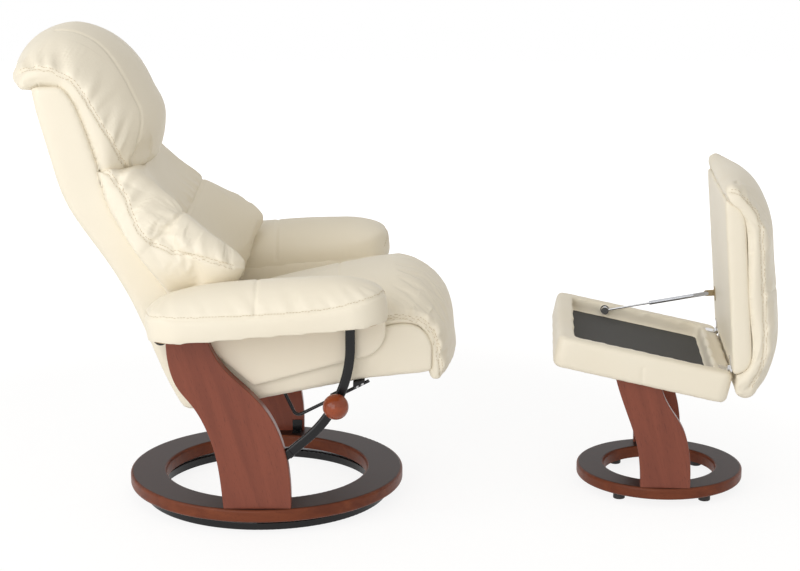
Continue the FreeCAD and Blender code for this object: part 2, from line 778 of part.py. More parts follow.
def rail_bolts(bracket):
    bolts = []
    for share in rail_bolt_run_shares:
        run = rail_bracket_rear_run + (rail_bracket_front_run - rail_bracket_rear_run) * share
        x = on_rail(run).x
        depth = rail_bracket_depth + (rail_bracket_lip - rail_bracket_depth) * share
        for side in (-1, 1):
            y = -rail_offset + side * (rail_bracket_width - rail_bolt_diameter) / 2
            head = V(x, y, seat_underside(x) - depth - rail_bolt_height)
            top = V(x, y, seat_underside(x) - rail_bracket_lip / 2)
            bolt = cylinder(rail_bolt_diameter / 2, head, top).cut(bracket)
            bolts += [bolt, mirrored(bolt)]
    return bolts


def back_shell():
    """The upholstered shell: a side outline drawn across the back, rounded along its rear edges."""
    rear = [V(-far, -back_half_width, z) for z, far, near in back_table]
    front = [V(-near, -back_half_width, z) for z, far, near in back_table]
    edges = [smooth(rear), line(rear[-1], front[-1]), smooth(front), line(front[0], rear[0])]
    slab = prism(edges, V(0, 2 * back_half_width, 0))
    rear_edges = [edge for edge in slab.Edges
                  if edge.BoundBox.XMin < front[-1].x - overrun and edge.BoundBox.ZLength > overrun]
    shell = slab.makeFillet(back_corner_round, rear_edges)
    for y in (-seat_lug_offset, seat_lug_offset):
        shell = shell.cut(lug_notch(y)).cut(seat_pivot_pin(y))
    return shell


def forward(shape, distance):
    return shape.translated(V(distance, 0, 0))


def back_board(shell):
    """The moulded board between the shell and the pad."""
    half = back_half_width - back_board_margin
    space = box(V(-back_reach, -half, pad_bottom), V(0, half, pad_top))
    board = forward(shell, soft_gap + back_board_thickness).common(space)
    return board.cut(forward(shell, soft_gap))


def pad_section(z, half, wing, valley):
    """A level section of the back pad: a hollow front between two wings."""
    rear = -between(back_table, z, 2)
    crest = half * wing_crest_share
    shoulder = (wing + rear) / 2
    bow = (half + crest) / 2 + (half - crest) / 4
    reach = wing - (wing - shoulder) / 4
    return Part.Wire([line(V(rear, -half, z), V(rear, half, z)), line(V(rear, half, z), V(shoulder, half, z)),
                      arc(V(shoulder, half, z), V(reach, bow, z), V(wing, crest, z)),
                      arc(V(wing, crest, z), V(valley, 0, z), V(wing, -crest, z)),
                      arc(V(wing, -crest, z), V(reach, -bow, z), V(shoulder, -half, z)),
                      line(V(shoulder, -half, z), V(rear, -half, z))])


def back_pad(shell, arm):
    """The padded back: side wings that hang over the arms, and a narrower foot between them."""
    sections = []
    for up, width, wing, middle in pad_shares:
        sections.append(pad_section(pad_bottom + pad_height * up, wing_half_width * width, -pad_reach * wing,
                                    -pad_reach * middle))
    pad = loft(sections).cut(forward(shell, back_board_thickness + 2 * soft_gap))
    raised = arm.translated(Z_AXIS * wing_arm_gap)
    return pad.cut(raised).cut(mirrored(raised))


def headrest_section(y, share):
    """A side-on section of the pillow: it hooks over the top of the shell."""
    def places(shares):
        return [V(headrest_depth * u - headrest_rear, y, headrest_bottom + headrest_height * v)
                for u, v in shares]
    inner = places(headrest_inner_shares)
    outer = [near + (far - near) * share for near, far in zip(inner, places(headrest_outer_shares))]
    seat = headrest_gap
    front_low = V(inner[0].x + seat, y, inner[0].z)
    front_mid = V(inner[2].x + seat, y, inner[2].z)
    crown_front = V(inner[4].x + seat, y, back_top + seat)
    crown_rear = V(inner[5].x - seat, y, back_top + seat)
    rear_low = V(inner[8].x - seat, y, inner[8].z)
    return Part.Wire([arc(outer[0], outer[1], outer[2]), arc(outer[2], outer[3], outer[4]),
                      arc(outer[4], outer[5], outer[6]), arc(outer[6], outer[7], outer[8]),
                      line(outer[8], rear_low), line(rear_low, crown_rear), line(crown_rear, crown_front),
                      line(crown_front, front_mid), line(front_mid, front_low), line(front_low, outer[0])])


def headrest(shell):
    sections = [headrest_section(headrest_half_width * place, share)
                for place, share in headrest_section_shares]
    return loft(sections).cut(shell)


def pivot_point(y):
    return V(-pivot_back, y, pivot_height)


def pivot_pin():
    """A flanged pin on the side of the back, which turns in the bracket under the arm."""
    start = -back_half_width
    outer = -arm_inner - back_bracket_gap - back_bracket_thickness - back_bracket_gap
    pin = cylinder(pivot_pin_diameter / 2, pivot_point(start), pivot_point(outer))
    flange = cylinder(pivot_flange_diameter / 2, pivot_point(start), pivot_point(start - pivot_flange_thickness))
    return pin.fuse(flange).removeSplitter()


def back_bracket():
    """A steel angle screwed under the arm's rear end, with a rounded eye at the recline pivot."""
    outer = -arm_inner - back_bracket_gap - back_bracket_thickness
    half = back_bracket_width / 2
    left, right = -pivot_back - half, -pivot_back + half
    end = back_bracket_end_round
    points = [V(left, outer, arm_underside(left)), V(left, outer, pivot_height),
              V(-pivot_back, outer, pivot_height - end), V(right, outer, pivot_height),
              V(right, outer, arm_underside(right))]
    edges = [line(points[0], points[1]), arc(points[1], points[2], points[3]), line(points[3], points[4]),
             line(points[4], points[0])]
    plate = prism(edges, Y_AXIS * back_bracket_thickness)
    down = V(0, 0, -back_bracket_thickness)
    rim = [points[4], points[0], points[0] + down, points[4] + down, points[4]]
    flange = prism(polygon(rim), Y_AXIS * -back_bracket_flange)
    bush = pivot_pin_diameter / 2 + running_clearance + pivot_bush_wall
    hole = cylinder(bush, pivot_point(outer - overrun), pivot_point(outer + back_bracket_thickness + overrun))
    return plate.fuse(flange).removeSplitter().cut(hole)


def pivot_bush():
    outer = -arm_inner - back_bracket_gap - back_bracket_thickness
    start, end = pivot_point(outer), pivot_point(outer + back_bracket_thickness)
    bore = pivot_pin_diameter / 2 + running_clearance
    return cylinder(bore + pivot_bush_wall, start, end).cut(cylinder(bore, start, end))


def seat_pivot_pin(y):
    """The pin across a notch in the back's foot, gripped on both sides."""
    reach = Y_AXIS * (seat_lug_thickness / 2 + seat_lug_side_gap + seat_pin_grip)
    centre = V(-seat_pivot_back, y, seat_pivot_height)
    return cylinder(pivot_pin_diameter / 2, centre - reach, centre + reach)


def lug_notch(y):
    """Room in the back's foot for a lug of the seat to swing round its pin."""
    half = seat_lug_thickness / 2 + seat_lug_side_gap
    return box(V(-seat_pivot_back - seat_lug_notch_back, y - half, back_bottom - overrun),
               V(-seat_rear, y + half, seat_pivot_height + seat_lug_notch_rise))


def seat_lug():
    """A bar from the seat's rear to the pin at the foot of the back, with a wide hole round the pin."""
    outer = -seat_lug_offset - seat_lug_thickness / 2
    half = seat_lug_height / 2
    low, high = seat_pivot_height - half, seat_pivot_height + half
    points = side_points([(-seat_rear, low), (-seat_pivot_back, low), (-seat_pivot_back - half, seat_pivot_height),
                          (-seat_pivot_back, high), (-seat_rear, high)], outer)
    edges = [line(points[0], points[1]), arc(points[1], points[2], points[3]), line(points[3], points[4]),
             line(points[4], points[0])]
    centre = V(-seat_pivot_back, outer - overrun, seat_pivot_height)
    hole = cylinder(seat_lug_hole_radius, centre, centre + Y_AXIS * (seat_lug_thickness + 2 * overrun))
    return prism(edges, Y_AXIS * seat_lug_thickness).cut(hole)


def chair():
    swivel_base()
    leg = chair_leg()
    board, pad = arm_pieces()
    save_pair("leg", leg)
    save("leg_brackets", *leg_brackets(leg_foot_front - leg_foot_width, leg_foot_front, leg_inner, ring_top))
    save_pair("arm_board", board)
    save_pair("arm_pad", pad)
    save_pair("apron", apron_panel())
    save_pair("arm_tube", arm_tube(leg, board.fuse(pad)))
    ferrule = tube_ferrule(leg)
    save("tube_ferrules", ferrule, mirrored(ferrule))
    save_pair("eye_bolt", eye_bolt())
    ball, insert = knob_pieces()
    save_pair("knob", ball)
    save_pair("knob_insert", insert)
    save_pair("back_bracket", back_bracket())
    bush = pivot_bush()
    save("back_pivot_bushes", bush, mirrored(bush))


def chair_seat():
    deck = seat_board()
    block = seat_box()
    bracket = rail_bracket()
    save("seat_box", block.cut(deck))
    save("seat_board", deck)
    save("seat_cushion", seat_cushion(block))
    save_pair("rail_rod", rail_rod(block, bracket))
    save("rail_brackets", bracket, mirrored(bracket))
    save("rail_bolts", *rail_bolts(bracket))
    lug = seat_lug()
    save("seat_hinge_lugs", lug, mirrored(lug))


def chair_back():
    shell = back_shell()
    board, arm = arm_pieces()
    save("back_shell", shell)
    save("back_board", back_board(shell))
    save("back_cushion", back_pad(shell, arm))
    save("headrest_pillow", headrest(shell))
    pin = pivot_pin()
    save("back_pivot_pins", pin, mirrored(pin))
    save("back_hinge_pins", seat_pivot_pin(-seat_lug_offset), seat_pivot_pin(seat_lug_offset))


def placed_stool(shape):
    placed = shape.copy()
    placed.rotate(ORIGIN, Z_AXIS, stool_turn)
    placed.translate(V(stool_x, stool_y, 0))
    return placed


def save_stool(name, *solids):
    save(name, *[placed_stool(solid) for solid in solids])


def tray_frame(shape):
    """Tilt a piece drawn about the lid's hinge axis, and set it on the stool."""
    placed = shape.copy()
    placed.rotate(ORIGIN, Y_AXIS, tray_tilt)
    placed.translate(V(hinge_x, 0, hinge_height))
    return placed


def opened(shape):
    """Swing a piece drawn with the lid shut to the open lid."""
    placed = shape.copy()
    placed.rotate(ORIGIN, Y_AXIS, lid_open_angle)
    return placed


def tray_underside(x):
    """Height of the tray's underside above the floor at a place along X."""
    tilt = math.radians(tray_tilt)
    below = tray_height - tray_top
    return hinge_height - (x - hinge_x) * math.tan(tilt) - below / math.cos(tilt)


def stool_base():
    save_stool("stool_ring", round_ring(stool_ring_radius, stool_ring_bore_radius, stool_foot_height,
                                        stool_ring_thickness, ring_edge_round))
    feet = []
    middle = (stool_ring_radius + stool_ring_bore_radius) / 2
    for turn in (stool_foot_angle, 180 - stool_foot_angle, 180 + stool_foot_angle, -stool_foot_angle):
        angle = math.radians(turn)
        place = V(middle * math.cos(angle), middle * math.sin(angle), 0)
        foot = cylinder(stool_foot_diameter / 2, place, place + Z_AXIS * stool_foot_height)
        rim = [e for e in foot.Edges if e.Curve.TypeId == "Part::GeomCircle" and e.Curve.Center.z == 0]
        feet.append(foot.makeFillet(stool_foot_round, rim))
    save_stool("stool_feet", *feet)
    foot_rear = stool_leg_foot_front - stool_leg_foot_width
    leg = leg_solid(foot_rear, stool_leg_foot_front, stool_leg_shares, stool_leg_front_shares, stool_leg_lean,
                    stool_leg_front_lean, stool_ring_top, tray_underside, stool_leg_outer, stool_leg_thickness,
                    leg_edge_round)
    save_stool("stool_right_leg", leg)
    save_stool("stool_left_leg", mirrored(leg))
    save_stool("stool_leg_brackets", *leg_brackets(foot_rear, stool_leg_foot_front,
                                                   stool_leg_outer - stool_leg_thickness, stool_ring_top))


def rounded_block(low, high, corner, edge):
    """A padded block: upright corners rounded more than its top and bottom edges."""
    block = box(low, high)
    upright = [e for e in block.Edges if abs(e.tangentAt(0).z) > abs(e.tangentAt(0).x) + abs(e.tangentAt(0).y)]
    block = block.makeFillet(corner, upright)
    middle = (low.z + high.z) / 2
    flat = [e for e in block.Edges if e.BoundBox.ZLength < edge / 2 and e.CenterOfMass.z != middle]
    return block.makeFillet(edge, flat)


def hinge_pocket(y):
    """Room round a hinge's knuckles."""
    reach = hinge_knuckle_diameter / 2 + hinge_pocket_clearance
    half = hinge_length / 2 + hinge_pocket_clearance
    return box(V(-reach, y - half, -reach), V(reach + tray_behind_hinge, y + half, reach))


def tray_pieces():
    """The shallow upholstered tray with a sunk rear ledge for the hinges, and its dark floor panel."""
    low = V(tray_behind_hinge - tray_length - tray_behind_hinge, -tray_half_width, tray_top - tray_height)
    high = V(tray_behind_hinge, tray_half_width, tray_top)
    tray = rounded_block(low, high, tray_corner, tray_edge_round)
    room_low = V(low.x + tray_wall, -tray_inner_half_width, tray_top - tray_depth - tray_floor_thickness)
    room_high = V(high.x - tray_rear_wall, tray_inner_half_width, tray_top + overrun)
    tray = tray.cut(box(room_low, room_high))
    ledge_low = V(high.x - ledge_width, -tray_inner_half_width, ledge_level)
    tray = tray.cut(box(ledge_low, V(high.x + overrun, tray_inner_half_width, tray_top + overrun)))
    for y in (-hinge_offset, hinge_offset):
        tray = tray.cut(hinge_pocket(y))
    floor = box(room_low, V(room_high.x, room_high.y, room_low.z + tray_floor_thickness))
    return tray, floor


def lid_panel(base):
    """A board with a flat face to the tray and rounded ends to the pillow, drawn shut."""
    front, rear, top = -tray_length, lid_rear_margin, base + lid_thickness
    bow = lid_end_round * (1 - math.sqrt(1 / 2))
    corners = side_points([(front, base), (rear, base), (rear, top - lid_end_round), (rear - bow, top - bow),
                           (rear - lid_end_round, top), (front + lid_end_round, top), (front + bow, top - bow),
                           (front, top - lid_end_round)], -tray_half_width)
    panel = prism([line(corners[0], corners[1]), line(corners[1], corners[2]), arc(*corners[2:5]),
                   line(corners[4], corners[5]), arc(*corners[5:8]), line(corners[7], corners[0])],
                  Y_AXIS * (2 * tray_half_width))
    rims = [e for e in panel.Edges if e.BoundBox.YLength < lid_edge_round and e.BoundBox.ZMin > base - lid_gap
            and e.BoundBox.ZMax > base + lid_edge_round and e.BoundBox.XLength > lid_edge_round]
    return panel.makeFillet(lid_edge_round, rims)


def lid_pieces():
    """The lid's upholstered panel, and the pillow on it that wraps its two ends, drawn shut."""
    base = tray_top + lid_gap
    panel = lid_panel(base)
    start = -tray_length - lid_cushion_free_overhang
    length = lid_rear_margin + lid_cushion_hinge_overhang - start
    half = tray_half_width + lid_cushion_side_overhang
    sections = []
    for place, wrap, swell, width in lid_station_shares:
        drop = lid_thickness * wrap
        centre = V(start + length * place, 0, base + lid_thickness - drop)
        sections.append(crowned_section(centre, Z_AXIS, half * width, lid_cushion_edge * swell + drop / 2,
                                        lid_cushion_crown * swell + drop))
    pillow = loft(sections).cut(panel)
    for y in (-hinge_offset, hinge_offset):
        panel = panel.cut(hinge_pocket(y))
    return panel, pillow


def hinge_pieces(y):
    """A butt hinge drawn shut: the tray leaf has the middle knuckle, the lid leaf the outer two."""
    half = hinge_length / 2
    middle = hinge_length * hinge_middle_share / 2
    bore = hinge_pin_diameter / 2 + running_clearance
    radius = hinge_knuckle_diameter / 2

    def knuckle(start, end):
        ring = cylinder(radius, V(0, y + start, 0), V(0, y + end, 0))
        return ring.cut(cylinder(bore, V(0, y + start, 0), V(0, y + end, 0)))

    def leaf(start, end, low, room):
        plate = box(V(-hinge_leaf_width, y - half, low), V(0, y + half, low + hinge_leaf_thickness))
        for a, b in room:
            plate = plate.cut(box(V(-radius - hinge_knuckle_gap, y + a, -radius), V(radius, y + b, radius)))
        plate = plate.cut(cylinder(bore, V(0, y - half, 0), V(0, y + half, 0)))
        return plate.fuse([knuckle(a, b) for a, b in zip(start, end)]).removeSplitter()
    gap = hinge_knuckle_gap
    outer_room = ((-half - overrun, -middle), (middle, half + overrun))
    tray_leaf = leaf((-middle,), (middle,), ledge_level, outer_room)
    lid_leaf = leaf((-half, middle + gap), (-middle - gap, half), hinge_leaf_gap, ((-middle - gap, middle + gap),))
    pin = cylinder(hinge_pin_diameter / 2, V(0, y - half, 0), V(0, y + half, 0))
    return tray_leaf, lid_leaf, pin


def strut_points():
    """The ball on the tray, and the strut's end at the lid bracket with the lid open."""
    ball = V(-strut_ball_run, strut_middle, -strut_ball_drop)
    shut = V(-strut_pin_run, strut_middle, -strut_pin_drop)
    turn = FreeCAD.Rotation(Y_AXIS, lid_open_angle)
    return ball, turn.multVec(shut)


def strut_pieces():
    """A ball stud on the tray wall, the rod with its cup, and the cylinder with its flattened eye."""
    ball, pin = strut_points()
    along = (pin - ball).normalize()
    wall = V(ball.x, tray_inner_half_width, ball.z)
    stud = Part.makeSphere(strut_ball_diameter / 2, ball)
    stud = stud.fuse([cylinder(strut_stud_diameter / 2, ball, wall),
                      cylinder(strut_plate_diameter / 2, wall, wall - Y_AXIS * strut_plate_thickness)]).removeSplitter()
    room = strut_ball_diameter / 2 + strut_bore_clearance
    mouth = ball + Y_AXIS * (strut_cup_length / 2)
    cup = cylinder(strut_cup_diameter / 2, ball - Y_AXIS * (strut_cup_length / 2 + strut_plate_thickness), mouth)
    cup = cup.cut(Part.makeSphere(room, ball)).cut(cylinder(room, ball, mouth))
    rod = cylinder(strut_rod_diameter / 2, ball + along * (strut_cup_diameter / 2 - strut_plate_thickness),
                   ball + along * strut_rod_end)
    rod = cup.fuse(rod).removeSplitter()
    start, end = ball + along * strut_cylinder_start, ball + along * strut_cylinder_end
    barrel = cylinder(strut_cylinder_diameter / 2, start, end)
    bore = strut_rod_diameter / 2 + strut_bore_clearance
    barrel = barrel.cut(cylinder(bore, start, end - along * strut_cap_length))
    across = V(-along.z, 0, along.x) * (strut_eye_width / 2)
    lap = Y_AXIS * (strut_eye_thickness / 2)
    tip = pin + along * (strut_eye_width / 2)
    eye = prism([line(end - across - lap, pin - across - lap), arc(pin - across - lap, tip - lap, pin + across - lap),
                 line(pin + across - lap, end + across - lap), line(end + across - lap, end - across - lap)], lap * 2)
    return stud, rod, barrel.fuse(eye).removeSplitter()


def lid_bracket():
    """A small angle on the lid's underside, whose tongue laps the strut's eye; drawn shut."""
    base = tray_top + lid_gap
    x = -strut_pin_run
    y = strut_middle + strut_eye_thickness / 2 + bracket_lap_gap
    half = bracket_base_length / 2
    side = y + bracket_thickness
    plate = box(V(x - half, side - bracket_base_width, base - bracket_thickness), V(x + half, side, base))
    tongue_half = bracket_tongue_width / 2
    low = V(x, y, -strut_pin_drop)
    edges = [line(V(x - tongue_half, y, base), V(x - tongue_half, y, low.z)),
             arc(V(x - tongue_half, y, low.z), low - Z_AXIS * tongue_half, V(x + tongue_half, y, low.z)),
             line(V(x + tongue_half, y, low.z), V(x + tongue_half, y, base)),
             line(V(x + tongue_half, y, base), V(x - tongue_half, y, base))]
    return plate.fuse(prism(edges, Y_AXIS * bracket_thickness)).removeSplitter()


def stool_top():
    tray, floor = tray_pieces()
    save_stool("stool_tray", tray_frame(tray))
    save_stool("tray_floor", tray_frame(floor))
    panel, pillow = lid_pieces()
    save_stool("lid_panel", tray_frame(opened(panel)))
    save_stool("lid_cushion", tray_frame(opened(pillow)))
    hinges = [hinge_pieces(y) for y in (-hinge_offset, hinge_offset)]
    save_stool("tray_hinge_leaves", *[tray_frame(h[0]) for h in hinges])
    save_stool("lid_hinge_leaves", *[tray_frame(opened(h[1])) for h in hinges])
    save_stool("lid_hinge_pins", *[tray_frame(h[2]) for h in hinges])
    stud, rod, barrel = strut_pieces()
    save_stool("strut_ball_stud", tray_frame(stud))
    save_stool("strut_rod", tray_frame(rod))
    save_stool("strut_cylinder", tray_frame(barrel))
    save_stool("lid_bracket", tray_frame(opened(lid_bracket())))


os.makedirs("parts", exist_ok=True)
chair()
chair_seat()
chair_back()
stool_base()
stool_top()
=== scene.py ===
# %% [markdown]
# # A recliner and its footstool
# The chair turns on a wooden ring, leans back on friction knobs and is covered in ivory leather. The
# stool's padded lid stands open on a strut over a shallow tray. The measured frame comes first: its wood and
# metal pieces are shown as they are, and everything soft is modelled again round it.

# %% Load the measured frame
import json
import math

import bmesh
import bpy
import numpy as np
from mathutils import Matrix, Vector, kdtree, noise
from mathutils.bvhtree import BVHTree


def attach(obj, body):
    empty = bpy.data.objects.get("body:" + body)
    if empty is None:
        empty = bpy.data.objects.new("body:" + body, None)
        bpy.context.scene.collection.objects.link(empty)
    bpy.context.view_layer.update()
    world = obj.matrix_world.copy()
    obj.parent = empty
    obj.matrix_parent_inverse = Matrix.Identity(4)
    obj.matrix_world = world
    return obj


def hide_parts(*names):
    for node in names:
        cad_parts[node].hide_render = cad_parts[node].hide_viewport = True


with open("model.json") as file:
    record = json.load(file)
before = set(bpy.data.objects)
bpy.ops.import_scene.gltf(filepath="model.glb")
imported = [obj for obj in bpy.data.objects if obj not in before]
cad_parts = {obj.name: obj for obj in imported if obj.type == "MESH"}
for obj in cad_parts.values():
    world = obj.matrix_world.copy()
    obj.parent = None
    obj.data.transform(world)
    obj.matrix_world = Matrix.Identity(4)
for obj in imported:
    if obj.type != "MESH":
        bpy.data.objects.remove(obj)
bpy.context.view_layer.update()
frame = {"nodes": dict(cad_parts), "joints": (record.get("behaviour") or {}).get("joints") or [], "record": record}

nodes = frame["nodes"]
scene = bpy.context.scene

# %% [markdown]
# ## The camera
# The photograph looks at the near side of the chair from a little above. A long lens a few metres away keeps
# the rings almost true, so the camera only has to be pitched down, with no turn and no shift.

# %% Camera
lens_mm = 84.6
sensor_mm = 36.0
camera_place = (0.2944, -3.979, 1.367)
camera_pitch = math.radians(12.8)

camera_data = bpy.data.cameras.new("camera")
camera_data.sensor_width = sensor_mm
camera_data.lens = lens_mm
camera = bpy.data.objects.new("camera", camera_data)
camera.location = camera_place
camera.rotation_euler = (math.pi / 2 - camera_pitch, 0, 0)
scene.collection.objects.link(camera)
scene.camera = camera
scene.view_settings.view_transform = "Standard"
print("camera:", lens_mm, "mm, pitched down", round(math.degrees(camera_pitch), 1), "degrees")

# %% [markdown]
# ## The floor
# The floor is white to the camera and to reflections through Light Path, which brightens the picture's ground
# without putting more light on the chair. A share of plain diffuse floor stays in the mix, so that the object
# keeps its soft shadow, and the glow rises with distance until the ground is pure white.

# %% Floor
def add_object(name, mesh, material=None):
    thing = bpy.data.objects.new(name, mesh)
    scene.collection.objects.link(thing)
    if material:
        thing.data.materials.clear()
        thing.data.materials.append(material)
    return thing


def seen_directly(tree):
    """1 where a camera, mirror or glass ray arrives, and 0 for the light that shades the object."""
    path = tree.nodes.new("ShaderNodeLightPath")
    either = tree.nodes.new("ShaderNodeMath")
    either.operation = "MAXIMUM"
    tree.links.new(path.outputs["Is Camera Ray"], either.inputs[0])
    tree.links.new(path.outputs["Is Glossy Ray"], either.inputs[1])
    whole = tree.nodes.new("ShaderNodeMath")
    whole.operation = "MAXIMUM"
    tree.links.new(either.outputs[0], whole.inputs[0])
    tree.links.new(path.outputs["Is Transmission Ray"], whole.inputs[1])
    return whole.outputs[0]


floor_grey = (0.93, 0.93, 0.93, 1)
floor_rough = 0.9
floor_half_width = 9.0
glow_from, glow_to = 1.0, 3.0
near_glow, far_glow = 1.08, 1.5
glow_share = 0.8


def floor_finish():
    """White to the camera, a little grey in the object's own shade, and whiter still far away."""
    material = bpy.data.materials.new("studio_floor")
    material.use_nodes = True
    tree = material.node_tree
    shader = tree.nodes["Principled BSDF"]
    shader.inputs["Base Color"].default_value = floor_grey
    shader.inputs["Roughness"].default_value = floor_rough
    where = tree.nodes.new("ShaderNodeTexCoord")
    away = tree.nodes.new("ShaderNodeVectorMath")
    away.operation = "LENGTH"
    tree.links.new(where.outputs["Object"], away.inputs[0])
    rise = tree.nodes.new("ShaderNodeMapRange")
    rise.interpolation_type = "SMOOTHSTEP"
    rise.inputs["From Min"].default_value = glow_from
    rise.inputs["From Max"].default_value = glow_to
    rise.inputs["To Min"].default_value = near_glow
    rise.inputs["To Max"].default_value = far_glow
    tree.links.new(away.outputs["Value"], rise.inputs["Value"])
    glow = tree.nodes.new("ShaderNodeEmission")
    tree.links.new(rise.outputs["Result"], glow.inputs["Strength"])
    mixer = tree.nodes.new("ShaderNodeMixShader")
    share = tree.nodes.new("ShaderNodeMath")
    share.operation = "MULTIPLY"
    share.inputs[1].default_value = glow_share
    tree.links.new(seen_directly(tree), share.inputs[0])
    tree.links.new(share.outputs[0], mixer.inputs[0])
    tree.links.new(shader.outputs[0], mixer.inputs[1])
    tree.links.new(glow.outputs[0], mixer.inputs[2])
    tree.links.new(mixer.outputs[0], tree.nodes["Material Output"].inputs["Surface"])
    return material


bm = bmesh.new()
bmesh.ops.create_grid(bm, x_segments=1, y_segments=1, size=floor_half_width)
floor_mesh = bpy.data.meshes.new("floor")
bm.to_mesh(floor_mesh)
bm.free()
floor = add_object("floor", floor_mesh, floor_finish())
print("floor: one square,", 2 * floor_half_width, "m across")

# %% [markdown]
# ## The light
# Pale leather shows its shape only in soft shade. In the photograph the near side and the rear are the bright
# sides and everything that faces the front is duller. So two broad panels stand beside the camera and behind
# the chair, with weak ones overhead and in front, and an even, slightly warm world fills the rest.

# %% Lamps and world
def add_panel(name, place, aim, size, power):
    lamp = bpy.data.lights.new(name, "AREA")
    lamp.size = size
    lamp.energy = power
    thing = bpy.data.objects.new(name, lamp)
    thing.location = place
    thing.rotation_mode = "QUATERNION"
    thing.rotation_quaternion = (Vector(aim) - Vector(place)).to_track_quat("-Z", "Y")
    scene.collection.objects.link(thing)
    return thing


add_panel("near_panel", (-2.2, -5.7, 2.1), (0.4, 0, 0.5), 3.8, 122)
add_panel("rear_panel", (-4.6, -2.8, 2.9), (0.3, 0, 0.5), 3.4, 84)
add_panel("overhead_panel", (0.4, -0.6, 3.4), (0.3, 0, 0.3), 3.0, 9)
add_panel("front_panel", (2.4, -4.6, 2.6), (0.2, 0, 0.5), 3.0, 12)

world_fill = (0.48, 0.462, 0.43, 1)
world = bpy.data.worlds.new("studio")
scene.world = world
world.use_nodes = True
sky = world.node_tree.nodes["Background"]
direct = seen_directly(world.node_tree)
tint = world.node_tree.nodes.new("ShaderNodeMix")
tint.data_type = "RGBA"
tint.inputs[6].default_value = world_fill
tint.inputs[7].default_value = (1, 1, 1, 1)
world.node_tree.links.new(direct, tint.inputs["Factor"])
world.node_tree.links.new(tint.outputs[2], sky.inputs["Color"])

# %% [markdown]
# ## Leather
# The cover is corrected-grain leather: ivory, fine pebbles about a millimetre across, a slow drift in tone
# and a soft satin shine. The pebbles are a Voronoi pattern fed to a Bump node, so they catch light without
# costing faces. The grain is a node group because two finishes share it: the leather and its thread.

# %% Grain group
def new_group(name, inputs, outputs):
    tree = bpy.data.node_groups.new(name, "ShaderNodeTree")
    for title, kind, value in inputs:
        socket = tree.interface.new_socket(title, in_out="INPUT", socket_type=kind)
        if value is not None:
            socket.default_value = value
    for title, kind in outputs:
        tree.interface.new_socket(title, in_out="OUTPUT", socket_type=kind)
    return tree, tree.nodes.new("NodeGroupInput"), tree.nodes.new("NodeGroupOutput")


def math_node(tree, operation, first, second):
    node = tree.nodes.new("ShaderNodeMath")
    node.operation = operation
    for socket, value in zip(node.inputs, (first, second)):
        if isinstance(value, (int, float)):
            socket.default_value = value
        else:
            tree.links.new(value, socket)
    return node.outputs[0]


def mix_colour(tree, share, first, second):
    node = tree.nodes.new("ShaderNodeMix")
    node.data_type = "RGBA"
    wanted = ((node.inputs["Factor"], share), (node.inputs[6], first), (node.inputs[7], second))
    for socket, value in wanted:
        if isinstance(value, (int, float, tuple)):
            socket.default_value = value
        else:
            tree.links.new(value, socket)
    return node.outputs[2]


def leather_grain_group():
    """Pebble height, and a slow drift between 0 and 1, from Object coordinates."""
    tree, start, end = new_group(
        "leather_grain",
        [("Vector", "NodeSocketVector", None), ("Pebbles per metre", "NodeSocketFloat", 900.0)],
        [("Height", "NodeSocketFloat"), ("Drift", "NodeSocketFloat")])
    pebbles = tree.nodes.new("ShaderNodeTexVoronoi")
    pebbles.feature = "SMOOTH_F1"
    tree.links.new(start.outputs["Vector"], pebbles.inputs["Vector"])
    tree.links.new(start.outputs["Pebbles per metre"], pebbles.inputs["Scale"])
    creases = tree.nodes.new("ShaderNodeTexNoise")
    creases.inputs["Scale"].default_value = 120.0
    creases.inputs["Detail"].default_value = 4.0
    tree.links.new(start.outputs["Vector"], creases.inputs["Vector"])
    height = math_node(tree, "ADD", pebbles.outputs["Distance"], creases.outputs["Fac"])
    tree.links.new(height, end.inputs["Height"])
    drift = tree.nodes.new("ShaderNodeTexNoise")
    drift.inputs["Scale"].default_value = 7.0
    drift.inputs["Detail"].default_value = 3.0
    tree.links.new(start.outputs["Vector"], drift.inputs["Vector"])
    tree.links.new(drift.outputs["Fac"], end.inputs["Drift"])
    return tree


leather_grain = leather_grain_group()
print("group:", leather_grain.name)

# %% Leather material
def plain_material(name):
    material = bpy.data.materials.new(name)
    material.use_nodes = True
    tree = material.node_tree
    where = tree.nodes.new("ShaderNodeTexCoord")
    return material, tree, tree.nodes["Principled BSDF"], where.outputs["Object"]


def add_bump(tree, shader, height, strength, distance):
    bump = tree.nodes.new("ShaderNodeBump")
    bump.inputs["Strength"].default_value = strength
    bump.inputs["Distance"].default_value = distance
    tree.links.new(height, bump.inputs["Height"])
    tree.links.new(bump.outputs["Normal"], shader.inputs["Normal"])


def leather_finish(name, light, dark):
    material, tree, shader, place = plain_material(name)
    grain = tree.nodes.new("ShaderNodeGroup")
    grain.node_tree = leather_grain
    tree.links.new(place, grain.inputs["Vector"])
    tree.links.new(mix_colour(tree, grain.outputs["Drift"], light, dark), shader.inputs["Base Color"])
    rough = tree.nodes.new("ShaderNodeMapRange")
    rough.inputs["To Min"].default_value = 0.42
    rough.inputs["To Max"].default_value = 0.54
    tree.links.new(grain.outputs["Drift"], rough.inputs["Value"])
    tree.links.new(rough.outputs["Result"], shader.inputs["Roughness"])
    shader.inputs["Specular IOR Level"].default_value = 0.4
    shader.inputs["Sheen Weight"].default_value = 0.06
    add_bump(tree, shader, grain.outputs["Height"], 0.16, 0.0006)
    return material


leather = leather_finish("ivory_leather", (0.89, 0.83, 0.70, 1), (0.86, 0.79, 0.645, 1))
thread = leather_finish("ivory_thread", (0.64, 0.54, 0.38, 1), (0.57, 0.47, 0.32, 1))
print("finishes:", leather.name, thread.name)
